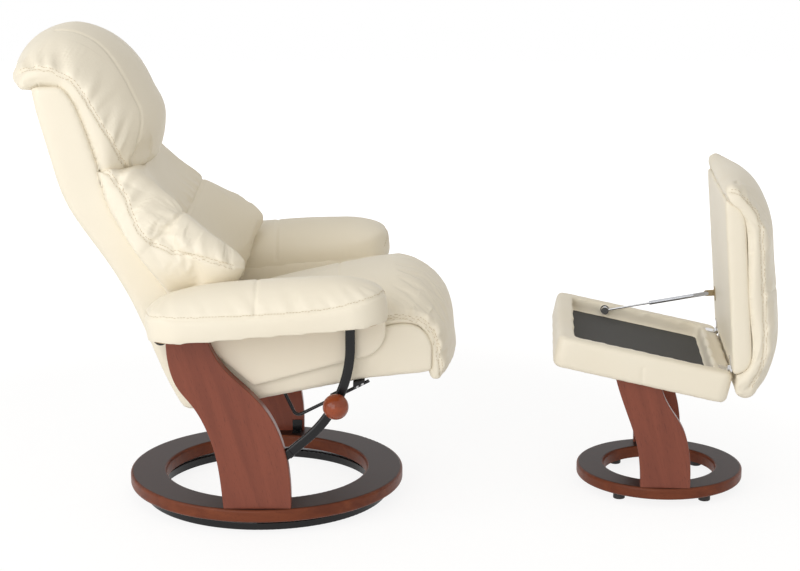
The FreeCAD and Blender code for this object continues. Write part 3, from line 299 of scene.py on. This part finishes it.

# %% [markdown]
# ## Lacquered wood
# Rings, legs and knobs are stained a red brown and lacquered. Long streaks run with the grain, pores are short
# dark dashes in them, and a clear coat, strongest on the knobs, gives the shine. The rings' upward faces are
# painted a deeper tone, a painted shade for the dim light on their tops.

# %% Wood grain group and material
def wood_grain_group():
    """A streak value between 0 and 1 along the X of the vector it is given."""
    tree, start, end = new_group("wood_grain", [("Vector", "NodeSocketVector", None)],
                                 [("Streaks", "NodeSocketFloat"), ("Pores", "NodeSocketFloat")])

    def stretched(scale, detail):
        mapping = tree.nodes.new("ShaderNodeMapping")
        mapping.inputs["Scale"].default_value = scale
        tree.links.new(start.outputs["Vector"], mapping.inputs["Vector"])
        texture = tree.nodes.new("ShaderNodeTexNoise")
        texture.inputs["Scale"].default_value = 1.0
        texture.inputs["Detail"].default_value = detail
        texture.inputs["Distortion"].default_value = 0.6
        tree.links.new(mapping.outputs["Vector"], texture.inputs["Vector"])
        return texture.outputs["Fac"]
    tree.links.new(stretched((3.0, 40.0, 40.0), 5.0), end.inputs["Streaks"])
    tree.links.new(stretched((60.0, 900.0, 900.0), 1.0), end.inputs["Pores"])
    return tree


wood_grain = wood_grain_group()
pore_colour = (0.03, 0.01, 0.008, 1)


def wood_finish(name, turn, light, dark, flat=None, coat=0.18, shine=0.3, coat_rough=0.12):
    """Stained wood; flat is a deeper tone painted on its upward faces, a painted shade for the weaker light that
    falls on them.
    """
    material, tree, shader, place = plain_material(name)
    lie = tree.nodes.new("ShaderNodeMapping")
    lie.inputs["Rotation"].default_value = turn
    tree.links.new(place, lie.inputs["Vector"])
    grain = tree.nodes.new("ShaderNodeGroup")
    grain.node_tree = wood_grain
    tree.links.new(lie.outputs["Vector"], grain.inputs["Vector"])
    streak = tree.nodes.new("ShaderNodeMapRange")
    streak.inputs["From Min"].default_value = 0.3
    streak.inputs["From Max"].default_value = 0.7
    tree.links.new(grain.outputs["Streaks"], streak.inputs["Value"])
    stained = mix_colour(tree, streak.outputs["Result"], dark, light)
    pore = tree.nodes.new("ShaderNodeMapRange")
    pore.inputs["From Min"].default_value = 0.62
    pore.inputs["From Max"].default_value = 0.75
    pore.inputs["To Max"].default_value = 0.45
    tree.links.new(grain.outputs["Pores"], pore.inputs["Value"])
    colour = mix_colour(tree, pore.outputs["Result"], stained, pore_colour)
    # Upward faces fade into the flat tone: painted shade for the little light that the tops receive.
    if flat:
        geometry = tree.nodes.new("ShaderNodeNewGeometry")
        level = tree.nodes.new("ShaderNodeSeparateXYZ")
        tree.links.new(geometry.outputs["Normal"], level.inputs[0])
        upward = math_node(tree, "MAXIMUM", level.outputs["Z"], 0.0)
        colour = mix_colour(tree, math_node(tree, "POWER", upward, 8.0), colour, flat)
    tree.links.new(colour, shader.inputs["Base Color"])
    shader.inputs["Roughness"].default_value = 0.42
    shader.inputs["Specular IOR Level"].default_value = shine
    shader.inputs["Coat Weight"].default_value = coat
    shader.inputs["Coat Roughness"].default_value = coat_rough
    add_bump(tree, shader, grain.outputs["Streaks"], 0.05, 0.0004)
    return material


along_leg = (0, math.radians(-75), 0)
along_x = (0, 0, 0)
leg_wood = wood_finish("leg_wood", along_leg, (0.235, 0.060, 0.032, 1), (0.185, 0.045, 0.024, 1))
# The rings' flat tone is painted shade on their tops.
ring_wood = wood_finish("ring_wood", along_x, (0.2, 0.055, 0.024, 1), (0.13, 0.034, 0.016, 1),
                        flat=(0.03, 0.011, 0.008, 1), coat=0.04, shine=0.15)
knob_wood = wood_finish("knob_wood", along_x, (0.32, 0.06, 0.014, 1), (0.22, 0.04, 0.01, 1),
                        coat=0.5, shine=0.2, coat_rough=0.05)
print("finishes:", leg_wood.name, ring_wood.name, knob_wood.name)

# %% [markdown]
# ## Metals, lining and glides
# The tubes and rods are satin black paint, the stool's hinges and strut are chrome with a satin silver
# barrel, the bracket is brass, and the tray has a dark woven lining.

# %% Metal group and materials
def surface_wear_group():
    """A fine speckle and slow smudges between 0 and 1."""
    tree, start, end = new_group("surface_wear", [("Vector", "NodeSocketVector", None)],
                                 [("Speckle", "NodeSocketFloat"), ("Smudge", "NodeSocketFloat")])
    for title, scale in (("Speckle", 1400.0), ("Smudge", 24.0)):
        texture = tree.nodes.new("ShaderNodeTexNoise")
        texture.inputs["Scale"].default_value = scale
        texture.inputs["Detail"].default_value = 2.0
        tree.links.new(start.outputs["Vector"], texture.inputs["Vector"])
        tree.links.new(texture.outputs["Fac"], end.inputs[title])
    return tree


surface_wear = surface_wear_group()


def hard_finish(name, colour, metallic, smooth_low, smooth_high, bump=0.03, shine=0.5):
    material, tree, shader, place = plain_material(name)
    wear = tree.nodes.new("ShaderNodeGroup")
    wear.node_tree = surface_wear
    tree.links.new(place, wear.inputs["Vector"])
    deep = tuple(c * 0.86 for c in colour[:3]) + (1,)
    tree.links.new(mix_colour(tree, wear.outputs["Smudge"], colour, deep), shader.inputs["Base Color"])
    rough = tree.nodes.new("ShaderNodeMapRange")
    rough.inputs["To Min"].default_value = smooth_low
    rough.inputs["To Max"].default_value = smooth_high
    tree.links.new(wear.outputs["Smudge"], rough.inputs["Value"])
    tree.links.new(rough.outputs["Result"], shader.inputs["Roughness"])
    shader.inputs["Metallic"].default_value = metallic
    shader.inputs["Specular IOR Level"].default_value = shine
    add_bump(tree, shader, wear.outputs["Speckle"], bump, 0.0003)
    return material


black_paint = hard_finish("black_paint", (0.008, 0.008, 0.009, 1), 0.0, 0.2, 0.28, shine=0.32)
bright_steel = hard_finish("bright_steel", (0.55, 0.55, 0.56, 1), 1.0, 0.25, 0.38)
chrome_plate = hard_finish("chrome_plate", (0.70, 0.70, 0.71, 1), 1.0, 0.08, 0.16, bump=0.01)
silver_barrel = hard_finish("silver_barrel", (0.50, 0.51, 0.54, 1), 1.0, 0.3, 0.4)
yellow_brass = hard_finish("yellow_brass", (0.42, 0.33, 0.2, 1), 1.0, 0.28, 0.4)
glide_plastic = hard_finish("glide_plastic", (0.02, 0.016, 0.014, 1), 0.0, 0.5, 0.62)
birch_ply = wood_finish("birch_ply", along_x, (0.62, 0.45, 0.27, 1), (0.52, 0.36, 0.2, 1))


lining_warp, lining_weft = (0.056, 0.055, 0.053, 1), (0.076, 0.075, 0.072, 1)


def lining_finish():
    """A dark plain weave: two crossed waves for the threads."""
    material, tree, shader, place = plain_material("tray_lining")
    heights = []
    for turn in (0, math.pi / 2):
        lie = tree.nodes.new("ShaderNodeMapping")
        lie.inputs["Rotation"].default_value = (0, 0, turn)
        tree.links.new(place, lie.inputs["Vector"])
        threads = tree.nodes.new("ShaderNodeTexWave")
        threads.inputs["Scale"].default_value = 160.0
        threads.inputs["Distortion"].default_value = 0.4
        tree.links.new(lie.outputs["Vector"], threads.inputs["Vector"])
        heights.append(threads.outputs["Fac"])
    weave = math_node(tree, "MULTIPLY", heights[0], heights[1])
    tree.links.new(mix_colour(tree, weave, lining_warp, lining_weft), shader.inputs["Base Color"])
    shader.inputs["Roughness"].default_value = 0.85
    add_bump(tree, shader, weave, 0.3, 0.0008)
    return material


lining = lining_finish()
print("finishes:", black_paint.name, chrome_plate.name, lining.name, "and others")

# %% [markdown]
# ## Finishes on the frame
# The record names a material slot for each node, so one table turns slots into finishes. The rings and the knobs
# are wood too, but stained and polished differently from the legs, and the rings' tops carry a painted shade.

# %% Give the measured pieces their finishes
finish_of = {"wood": leg_wood, "plywood": birch_ply, "leather": leather, "black_metal": black_paint,
             "steel": bright_steel, "chrome": chrome_plate, "silver": silver_barrel, "brass": yellow_brass,
             "lining": lining, "foot_plastic": glide_plastic}
for piece in frame["record"]["subparts"]:
    thing = nodes[piece["node"]]
    thing.data.materials.clear()
    thing.data.materials.append(finish_of[piece["material_slot"]])
for name in ("base_ring", "stool_ring"):
    nodes[name].data.materials[0] = ring_wood
for name in ("right_knob", "left_knob"):
    nodes[name].data.materials[0] = knob_wood
print("finished", len(nodes), "measured pieces")

# %% [markdown]
# ## How a padded piece is made
# Each leather piece starts as a copy of its solid in the frame, so it is in the right place from the start. A
# voxel remesh gives it an even skin, and smoothing rounds the edges as foam does. On the cushions a short
# cloth run with air pressure swells the skin between the faces that are glued to a board, up to a cap. One
# subdivision follows.

# %% Skin, swelling and subdivision
cloth_frames = 20


def applied(thing):
    """Replace an object's mesh by the result of its modifiers."""
    bpy.context.view_layer.update()
    graph = bpy.context.evaluated_depsgraph_get()
    mesh = bpy.data.meshes.new_from_object(thing.evaluated_get(graph))
    thing.modifiers.clear()
    thing.data = mesh
    return thing


def coordinates(thing):
    flat = np.empty(len(thing.data.vertices) * 3)
    thing.data.vertices.foreach_get("co", flat)
    return flat.reshape(-1, 3)


def set_coordinates(thing, places):
    thing.data.vertices.foreach_set("co", places.ravel())
    thing.data.update()


def normals_of(thing):
    flat = np.empty(len(thing.data.vertices) * 3)
    thing.data.vertex_normals.foreach_get("vector", flat)
    return flat.reshape(-1, 3)


def skin_over(name, node, voxel, rounds):
    """An even skin over a copy of a solid of the frame, with its edges rounded by smoothing."""
    bm = bmesh.new()
    bm.from_mesh(nodes[node].data)
    bmesh.ops.remove_doubles(bm, verts=bm.verts, dist=1e-5)
    mesh = bpy.data.meshes.new(name)
    bm.to_mesh(mesh)
    bm.free()
    thing = add_object(name, mesh, leather)
    remesh = thing.modifiers.new("skin", "REMESH")
    remesh.mode = "VOXEL"
    remesh.voxel_size = voxel
    applied(thing)
    bm = bmesh.new()
    bm.from_mesh(thing.data)
    for _ in range(rounds):
        bmesh.ops.smooth_vert(bm, verts=bm.verts, factor=0.5,
                              use_axis_x=True, use_axis_y=True, use_axis_z=True)
    bm.to_mesh(thing.data)
    bm.free()
    return thing


def swell(thing, glued, pressure, cap):
    """Blow the skin up a little with cloth. glued(places, normals) marks the vertices that stay put."""
    start = coordinates(thing)
    held = thing.vertex_groups.new(name="glued")
    held.add([int(i) for i in np.nonzero(glued(start, normals_of(thing)))[0]], 1.0, "REPLACE")
    cloth = thing.modifiers.new("air", "CLOTH")
    cloth.settings.quality = 4
    cloth.settings.mass = 0.25
    cloth.settings.bending_stiffness = 0.6
    cloth.settings.use_pressure = True
    cloth.settings.uniform_pressure_force = pressure
    cloth.settings.vertex_group_mass = "glued"
    cloth.settings.effector_weights.gravity = 0
    cloth.point_cache.frame_end = cloth_frames
    for step in range(1, cloth_frames + 1):
        scene.frame_set(step)
    applied(thing)
    scene.frame_set(1)
    moved = coordinates(thing) - start
    length = np.linalg.norm(moved, axis=1, keepdims=True)
    set_coordinates(thing, start + moved * np.minimum(1, cap / np.maximum(length, 1e-9)))
    print("swelled", thing.name, "by up to", round(1000 * min(cap, length.max()), 1), "mm")


def refined(thing):
    """One subdivision, applied."""
    thing.vertex_groups.clear()
    finer = thing.modifiers.new("finer", "SUBSURF")
    finer.levels = finer.render_levels = 1
    applied(thing)
    thing.data.shade_smooth()
    return thing


def facing(*way):
    """Marks the vertices whose normal points the given way: the faces glued to a board."""
    direction = np.array(way) / np.linalg.norm(way)
    return lambda places, normals: normals @ direction > 0.7


def padded_piece(name, node, body, voxel, rounds, fill, glued=None, pressure=0.0, cap=0.0):
    """A leather piece over a solid of the frame; with a cap it is swelled, glued where glued says."""
    thing = skin_over(name, node, voxel, rounds)
    if cap:
        swell(thing, glued, pressure, cap)
    refined(thing)
    thing.data.materials.clear()
    thing.data.materials.append(leather)
    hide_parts(node)
    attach(thing, body)
    print(name, len(thing.data.polygons), "faces")
    return thing


# %% [markdown]
# ## The covers
# Cushions have foam settings, with the way their glued faces look, the air pressure and a cap. Tight covers
# over boards have only a skin. Each piece replaces its solid and rides on that solid's body.

# %% The leather pieces of the chair
to_board = facing(0, 0, -1)
to_shell = facing(-1, 0, -0.35)
arm_foam = dict(voxel=0.005, rounds=14, fill=0.7, glued=to_board, pressure=3.0, cap=0.006)
seat_foam = dict(voxel=0.006, rounds=10, fill=0.6, glued=to_board, pressure=4.0, cap=0.007)
back_foam = dict(voxel=0.0055, rounds=14, fill=0.6, glued=to_shell, pressure=4.0, cap=0.010)
side_skin = dict(voxel=0.004, rounds=4, fill=0.8)
base_skin = dict(voxel=0.006, rounds=6, fill=0.9)
shell_skin = dict(voxel=0.0075, rounds=4, fill=0.9)

right_arm = padded_piece("right_arm_cushion", "right_arm_pad", "chair_frame", **arm_foam)
left_arm = padded_piece("left_arm_cushion", "left_arm_pad", "chair_frame", **arm_foam)
right_side = padded_piece("right_side_cover", "right_apron", "chair_frame", **side_skin)
left_side = padded_piece("left_side_cover", "left_apron", "chair_frame", **side_skin)
seat_base = padded_piece("seat_base_cover", "seat_box", "seat", **base_skin)
seat_pad = padded_piece("seat_pad_cover", "seat_cushion", "seat", **seat_foam)
shell_cover = padded_piece("back_shell_cover", "back_shell", "back", **shell_skin)
back_pad = padded_piece("back_pad_cover", "back_cushion", "back", **back_foam)
headrest = padded_piece("headrest_cover", "headrest_pillow", "back", **back_foam)

# %% The leather pieces of the stool
to_panel = facing(-1, 0, 0)
tray_skin = dict(voxel=0.006, rounds=2, fill=0.9)
panel_skin = dict(voxel=0.005, rounds=6, fill=0.9)
pillow_foam = dict(voxel=0.0053, rounds=12, fill=0.6, glued=to_panel, pressure=3.0, cap=0.004)

tray_cover = padded_piece("tray_cover", "stool_tray", "stool_base", **tray_skin)
lid_cover = padded_piece("lid_panel_cover", "lid_panel", "stool_lid", **panel_skin)
lid_pillow = padded_piece("lid_pillow_cover", "lid_cushion", "stool_lid", **pillow_foam)

# %% [markdown]
# ## Seams, gathers and stitches
# A seam is a curve through a few places on the cover, in millimetres, listed for the near side and mirrored for
# the far one. Its points are snapped to the skin, the vertices near it sink into a groove, and the leather on one
# side of it is drawn up in small waves that fade away from the seam. Topstitching is real geometry: one small bead
# of thread per stitch, laid in rows beside the groove and turned along it.

# %% Curves on a skin
def curve_through(places, step=0.002):
    """Evenly spaced points in metres on a smooth curve through places given in millimetres."""
    knots = np.array(places, float) / 1000
    gaps = np.linalg.norm(np.diff(knots, axis=0), axis=1)
    along = np.concatenate(([0], np.cumsum(gaps)))
    slopes = np.gradient(knots, along, axis=0)
    at = np.linspace(0, along[-1], max(2, int(along[-1] / step)))
    index = np.clip(np.searchsorted(along, at, side="right") - 1, 0, len(gaps) - 1)
    width = gaps[index][:, None]
    t = ((at - along[index]) / gaps[index])[:, None]
    return (knots[index] * (1 + 2 * t) * (1 - t) ** 2 + slopes[index] * width * t * (1 - t) ** 2
            + knots[index + 1] * t ** 2 * (3 - 2 * t) + slopes[index + 1] * width * t ** 2 * (t - 1))


def skin_tree(thing):
    """A tree of the skin's faces, for finding the nearest point on it."""
    places = [Vector(p) for p in coordinates(thing)]
    return BVHTree.FromPolygons(places, [tuple(f.vertices) for f in thing.data.polygons])


def snapped(tree, points):
    """The nearest points on the skin, and its normals there."""
    hits = [tree.find_nearest(Vector(p)) for p in points]
    return np.array([h[0] for h in hits]), np.array([h[1] for h in hits])


gather_pitch, gather_reach = 0.023, 0.045
gather_slant, gather_drift = 0.45, 0.5
gather_seed = 40


def sink(thing, points, normals_at, depth, width, wave=0.0, side=1):
    """Press a groove along the points; gathers of the given wave height stand on one side of it only."""
    path = kdtree.KDTree(len(points))
    for index, point in enumerate(points):
        path.insert(Vector(point), index)
    path.balance()
    run = np.concatenate(([0], np.cumsum(np.linalg.norm(np.diff(points, axis=0), axis=1))))
    sides = np.cross(normals_at, np.gradient(points, axis=0)) * side
    sides /= np.maximum(np.linalg.norm(sides, axis=1, keepdims=True), 1e-9)
    places, normals = coordinates(thing), normals_of(thing)
    span = max(3 * width, 2.2 * gather_reach if wave else 0)
    near = np.all((places > points.min(0) - span) & (places < points.max(0) + span), axis=1)
    for vertex in np.nonzero(near)[0]:
        _, index, far = path.find(Vector(places[vertex]))
        if far > span:
            continue
        shift = -depth * math.exp(-(far / width) ** 2)
        out = sides[index] @ (places[vertex] - points[index])
        if wave and out > 0:
            along = (run[index] + gather_slant * out) / gather_pitch
            fold = Vector((along, gather_drift * out / gather_reach, gather_seed * depth * side))
            fade = math.exp(-(out / gather_reach) ** 2) * (1 - math.exp(-(out / width) ** 2))
            fade *= min(1.0, max(0.0, 2 * normals[vertex] @ normals_at[index]))
            shift += wave * fade * 2 * noise.noise(fold)
        places[vertex] += normals[vertex] * shift
    set_coordinates(thing, places)


def soften(thing, height, size):
    """Slow swells over a cover, as foam and loose leather give."""
    places, normals = coordinates(thing), normals_of(thing)
    lift = np.array([noise.noise(Vector(p) / size) for p in places])
    set_coordinates(thing, places + normals * (lift * height)[:, None])


least_facing = 0.3


def press(thing, others, reach, share=1.05):
    """Draw a skin onto its neighbours wherever it faces them across a small gap, as sewn covers meet."""
    places, normals = coordinates(thing), normals_of(thing)
    for other in others:
        tree = skin_tree(other)
        low, high = coordinates(other).min(0) - reach, coordinates(other).max(0) + reach
        near = np.all((places > low) & (places < high), axis=1)
        for vertex in np.nonzero(near)[0]:
            spot = tree.find_nearest(Vector(places[vertex]), reach)[0]
            if spot is None:
                continue
            way = np.array(spot) - places[vertex]
            far = np.linalg.norm(way)
            if far > 1e-5 and normals[vertex] @ way > least_facing * far:
                places[vertex] += way * (share * min(1, 2 * (1 - far / reach)))
    set_coordinates(thing, places)


drop_start, drop_span = 0.1, 0.6


def drop(thing, direction, amount, where=None):
    """Move the faces that look one way further that way; where(places) gives a share for each vertex."""
    way, places = np.array(direction, float), coordinates(thing)
    facing_it = np.clip((normals_of(thing) @ way - drop_start) / drop_span, 0, 1)
    if where:
        facing_it = facing_it * where(places)
    set_coordinates(thing, places + way * (facing_it * amount)[:, None])


def slide(thing, way, where):
    """Move every vertex the given way by its share."""
    places = coordinates(thing)
    set_coordinates(thing, places + np.array(way) * where(places)[:, None])


# %% Rows of stitches
stitch_length, stitch_pitch, stitch_radius = 0.0054, 0.0062, 0.00062
stitch_lift = 0.3
both_rows = (-0.0042, 0.0042)


def stitch_rows(name, thing, body, paths, offsets):
    """Beads of thread along each path, in rows set off to its sides."""
    tree = skin_tree(thing)
    bm = bmesh.new()
    count = 0
    for points in paths:
        spots, normals = snapped(tree, points)
        run = np.concatenate(([0], np.cumsum(np.linalg.norm(np.diff(spots, axis=0), axis=1))))
        ways = np.gradient(spots, axis=0)
        for place in np.arange(stitch_pitch, run[-1], stitch_pitch):
            index = min(int(np.searchsorted(run, place)), len(run) - 1)
            way = Vector(ways[index]).normalized()
            side = Vector(normals[index]).cross(way).normalized()
            for offset in offsets:
                spot, normal, _, _ = tree.find_nearest(Vector(spots[index]) + side * offset)
                lie = (way - normal * way.dot(normal)).normalized()
                turn = Matrix((lie, normal.cross(lie), normal)).transposed().to_4x4()
                size = Matrix.Diagonal((stitch_length / 2, stitch_radius, stitch_radius, 1))
                lift = Matrix.Translation(spot + normal * stitch_radius * stitch_lift)
                bmesh.ops.create_uvsphere(bm, u_segments=6, v_segments=4, radius=1, matrix=lift @ turn @ size)
                count += 1
    mesh = bpy.data.meshes.new(name)
    bm.to_mesh(mesh)
    bm.free()
    rows = add_object(name, mesh, thread)
    rows.data.shade_smooth()
    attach(rows, body)
    print(name, count, "stitches")
    return rows


# %% Mirrored places and whole seams
def middle_of(node):
    """The middle of a node's box, in metres."""
    return np.mean([tuple(corner) for corner in nodes[node].bound_box], axis=0)


def flipped(places, middle=0.0):
    """The same places on the other side of an upright plane along X."""
    return [(x, 2 * middle - y, z) for x, y, z in places]


def seam(thing, places, depth, width, wave=0.0, side=1):
    """One groove through the places; returns its points for the stitches."""
    points, normals = snapped(skin_tree(thing), curve_through(places))
    sink(thing, points, normals, depth, width, wave, side)
    return points


def seam_pair(thing, near, far, groove):
    """The same groove on both sides of a piece, with its gathers turned to match."""
    return [seam(thing, near, **groove), seam(thing, far, **groove, side=-1)]


print("seams: gathers", 1000 * gather_pitch, "mm apart, stitches", 1000 * stitch_pitch, "mm apart")

# %% [markdown]
# ## Headrest and back
# The headrest hooks over the top of the shell and hangs down to the pad, so its foot is let down and pressed
# onto both. The pad's wings are edged by a gathered seam, and a channel crosses the pad above the small of
# the back.

# %% Seams of the headrest and the back
headrest_edge = [(-475, -180, 945), (-420, -205, 955), (-365, -210, 930), (-320, -205, 860),
                 (-280, -190, 785), (-265, -165, 745)]
headrest_panel = [(-415, -80, 1020), (-340, -90, 1010), (-280, -120, 945), (-240, -125, 860),
                  (-245, -140, 795), (-270, -135, 745)]
wing_edge = [(-305, -220, 760), (-270, -230, 715), (-215, -270, 620), (-175, -280, 600),
             (-105, -285, 585), (-45, -275, 565)]
half_channel = [(-200, -275, 615), (-165, -250, 650), (-155, -180, 650), (-165, -110, 625)]
channel = half_channel + [(-175, 0, 605)] + flipped(half_channel)[::-1]

edge_groove = dict(depth=0.003, width=0.004, wave=0.0048)
panel_groove = dict(depth=0.0024, width=0.0045)
channel_hollow = dict(depth=0.0035, width=0.02)
channel_groove = dict(depth=0.0045, width=0.0045, wave=0.003)
headrest_foot, headrest_fall = 0.87, 0.032
pad_top, pad_top_depth, pad_top_fall = 0.69, 0.07, 0.010
pad_half_width, pad_edge, pad_fall = 0.245, 0.03, 0.028


def under_headrest(places):
    """The lower part of the headrest."""
    return places[:, 2] < headrest_foot


def near_pad_top(places):
    """0 below the pad's top, rising to 1 at it."""
    return np.clip((places[:, 2] - pad_top) / pad_top_depth, 0, 1)


def between_wings(places):
    """1 in the middle of the pad, falling to 0 at the wings."""
    return np.clip((pad_half_width - abs(places[:, 1])) / pad_edge, 0, 1)


drop(headrest, (0, 0, -1), headrest_fall, under_headrest)
slide(back_pad, (0, 0, -pad_top_fall), near_pad_top)
drop(back_pad, (0, 0, -1), pad_fall, between_wings)
press(back_pad, (shell_cover,), reach=0.024)
press(headrest, (shell_cover, back_pad), reach=0.022)
soften(headrest, height=0.0025, size=0.11)
edges = seam_pair(headrest, headrest_edge, flipped(headrest_edge), edge_groove)
for places in (headrest_panel, flipped(headrest_panel)):
    seam(headrest, places, **panel_groove)
stitch_rows("headrest_stitches", headrest, "back", edges, both_rows)

soften(back_pad, height=0.003, size=0.12)
seam(back_pad, channel, **channel_hollow)
seam(back_pad, channel, **channel_groove)
wings = seam_pair(back_pad, wing_edge, flipped(wing_edge), edge_groove)
stitch_rows("back_stitches", back_pad, "back", wings, both_rows)

# %% [markdown]
# ## Arms and seat
# A seam runs round the outside of each arm and another crosses it. The seat's side seam falls over the front
# lip and draws the leather into deep gathers.

# %% Seams of the arms and the seat
arm_middle = 1000 * middle_of("right_arm_pad")[1]
arm_band = [(-215, -320, 480), (-205, -365, 480), (-165, -395, 485), (10, -400, 490), (185, -400, 510),
            (250, -375, 525), (270, -320, 525), (260, -285, 490)]
arm_half_cross = [(10, -400, 495), (10, -365, 535)]
arm_far_cross = flipped(arm_half_cross, arm_middle)[::-1] + [(10, -245, 470)]
arm_cross = arm_half_cross + [(10, arm_middle, 550)] + arm_far_cross
arm_groove = dict(depth=0.0024, width=0.004, wave=0.0014)
arm_cross_groove = dict(depth=0.0018, width=0.004)
arm_fall, arm_row = 0.004, 0.0045
for arm, name, side in ((right_arm, "right_arm_stitches", 1), (left_arm, "left_arm_stitches", -1)):
    band = arm_band if side > 0 else flipped(arm_band)
    cross = arm_cross if side > 0 else flipped(arm_cross)
    drop(arm, (0, 0, -1), arm_fall)
    soften(arm, height=0.0015, size=0.12)
    lines = [seam(arm, band, **arm_groove, side=side)]
    seam(arm, cross, **arm_cross_groove)
    stitch_rows(name, arm, "chair_frame", lines, (arm_row * side,))

seat_edge = [(-100, -237, 370), (140, -237, 425), (270, -237, 450), (310, -237, 450), (350, -237, 432),
             (370, -237, 390), (380, -230, 325)]
seat_groove = dict(depth=0.004, width=0.0045, wave=0.0055)
seat_cross_groove = dict(depth=0.0024, width=0.0045, wave=0.0014)
side_rise = 0.012
seat_cross = [(150, -228, 440), (160, -120, 485), (162, 0, 498), (160, 120, 485), (150, 228, 440)]
for cover in (right_side, left_side):
    drop(cover, (0, 0, 1), side_rise)
press(seat_pad, (seat_base,), reach=0.016, share=0.8)
soften(seat_pad, height=0.003, size=0.13)
seat_lines = seam_pair(seat_pad, seat_edge, flipped(seat_edge), seat_groove)
seam(seat_pad, seat_cross, **seat_cross_groove)
stitch_rows("seat_stitches", seat_pad, "seat", seat_lines, both_rows)

# %% [markdown]
# ## The stool
# The stool stands a little turned, so its far half is mirrored in its own middle plane, which is worked out
# from its ring and from the axis of the lid's hinge.

# %% Seams of the stool
lid_hinge = next(joint for joint in frame["joints"] if joint["name"] == "lid_hinge")
stool_turn = math.atan2(-lid_hinge["axis"][0], lid_hinge["axis"][1])
stool_middle = 1000 * middle_of("stool_ring")


def across_stool(places):
    """The same places on the other side of the stool's own middle plane."""
    x0, y0, _ = stool_middle
    c, s = math.cos(stool_turn), math.sin(stool_turn)
    out = []
    for x, y, z in places:
        u, v = c * (x - x0) + s * (y - y0), -s * (x - x0) + c * (y - y0)
        out.append((x0 + c * u + s * v, y0 + s * u - c * v, z))
    return out


lid_near = [(970, -170, 700), (1005, -180, 695), (1030, -180, 670), (1040, -185, 610), (1050, -180, 485),
            (1055, -185, 390), (1050, -185, 320), (1030, -180, 285)]
lid_half_cross = [(1050, -180, 490), (1075, -125, 480)]
lid_cross = lid_half_cross + across_stool(lid_half_cross)[::-1]
tray_joint = [(805, -160, 320), (805, -160, 270)]
lid_groove = dict(depth=0.003, width=0.004, wave=0.0026)
lid_cross_groove = dict(depth=0.0026, width=0.0045)
tray_groove = dict(depth=0.0014, width=0.004)
press(lid_pillow, (lid_cover,), reach=0.024, share=0.85)
soften(lid_pillow, height=0.0025, size=0.12)
lid_lines = seam_pair(lid_pillow, lid_near, across_stool(lid_near), lid_groove)
seam(lid_pillow, lid_cross, **lid_cross_groove)
seam(tray_cover, tray_joint, **tray_groove)
stitch_rows("lid_stitches", lid_pillow, "stool_lid", lid_lines, both_rows)
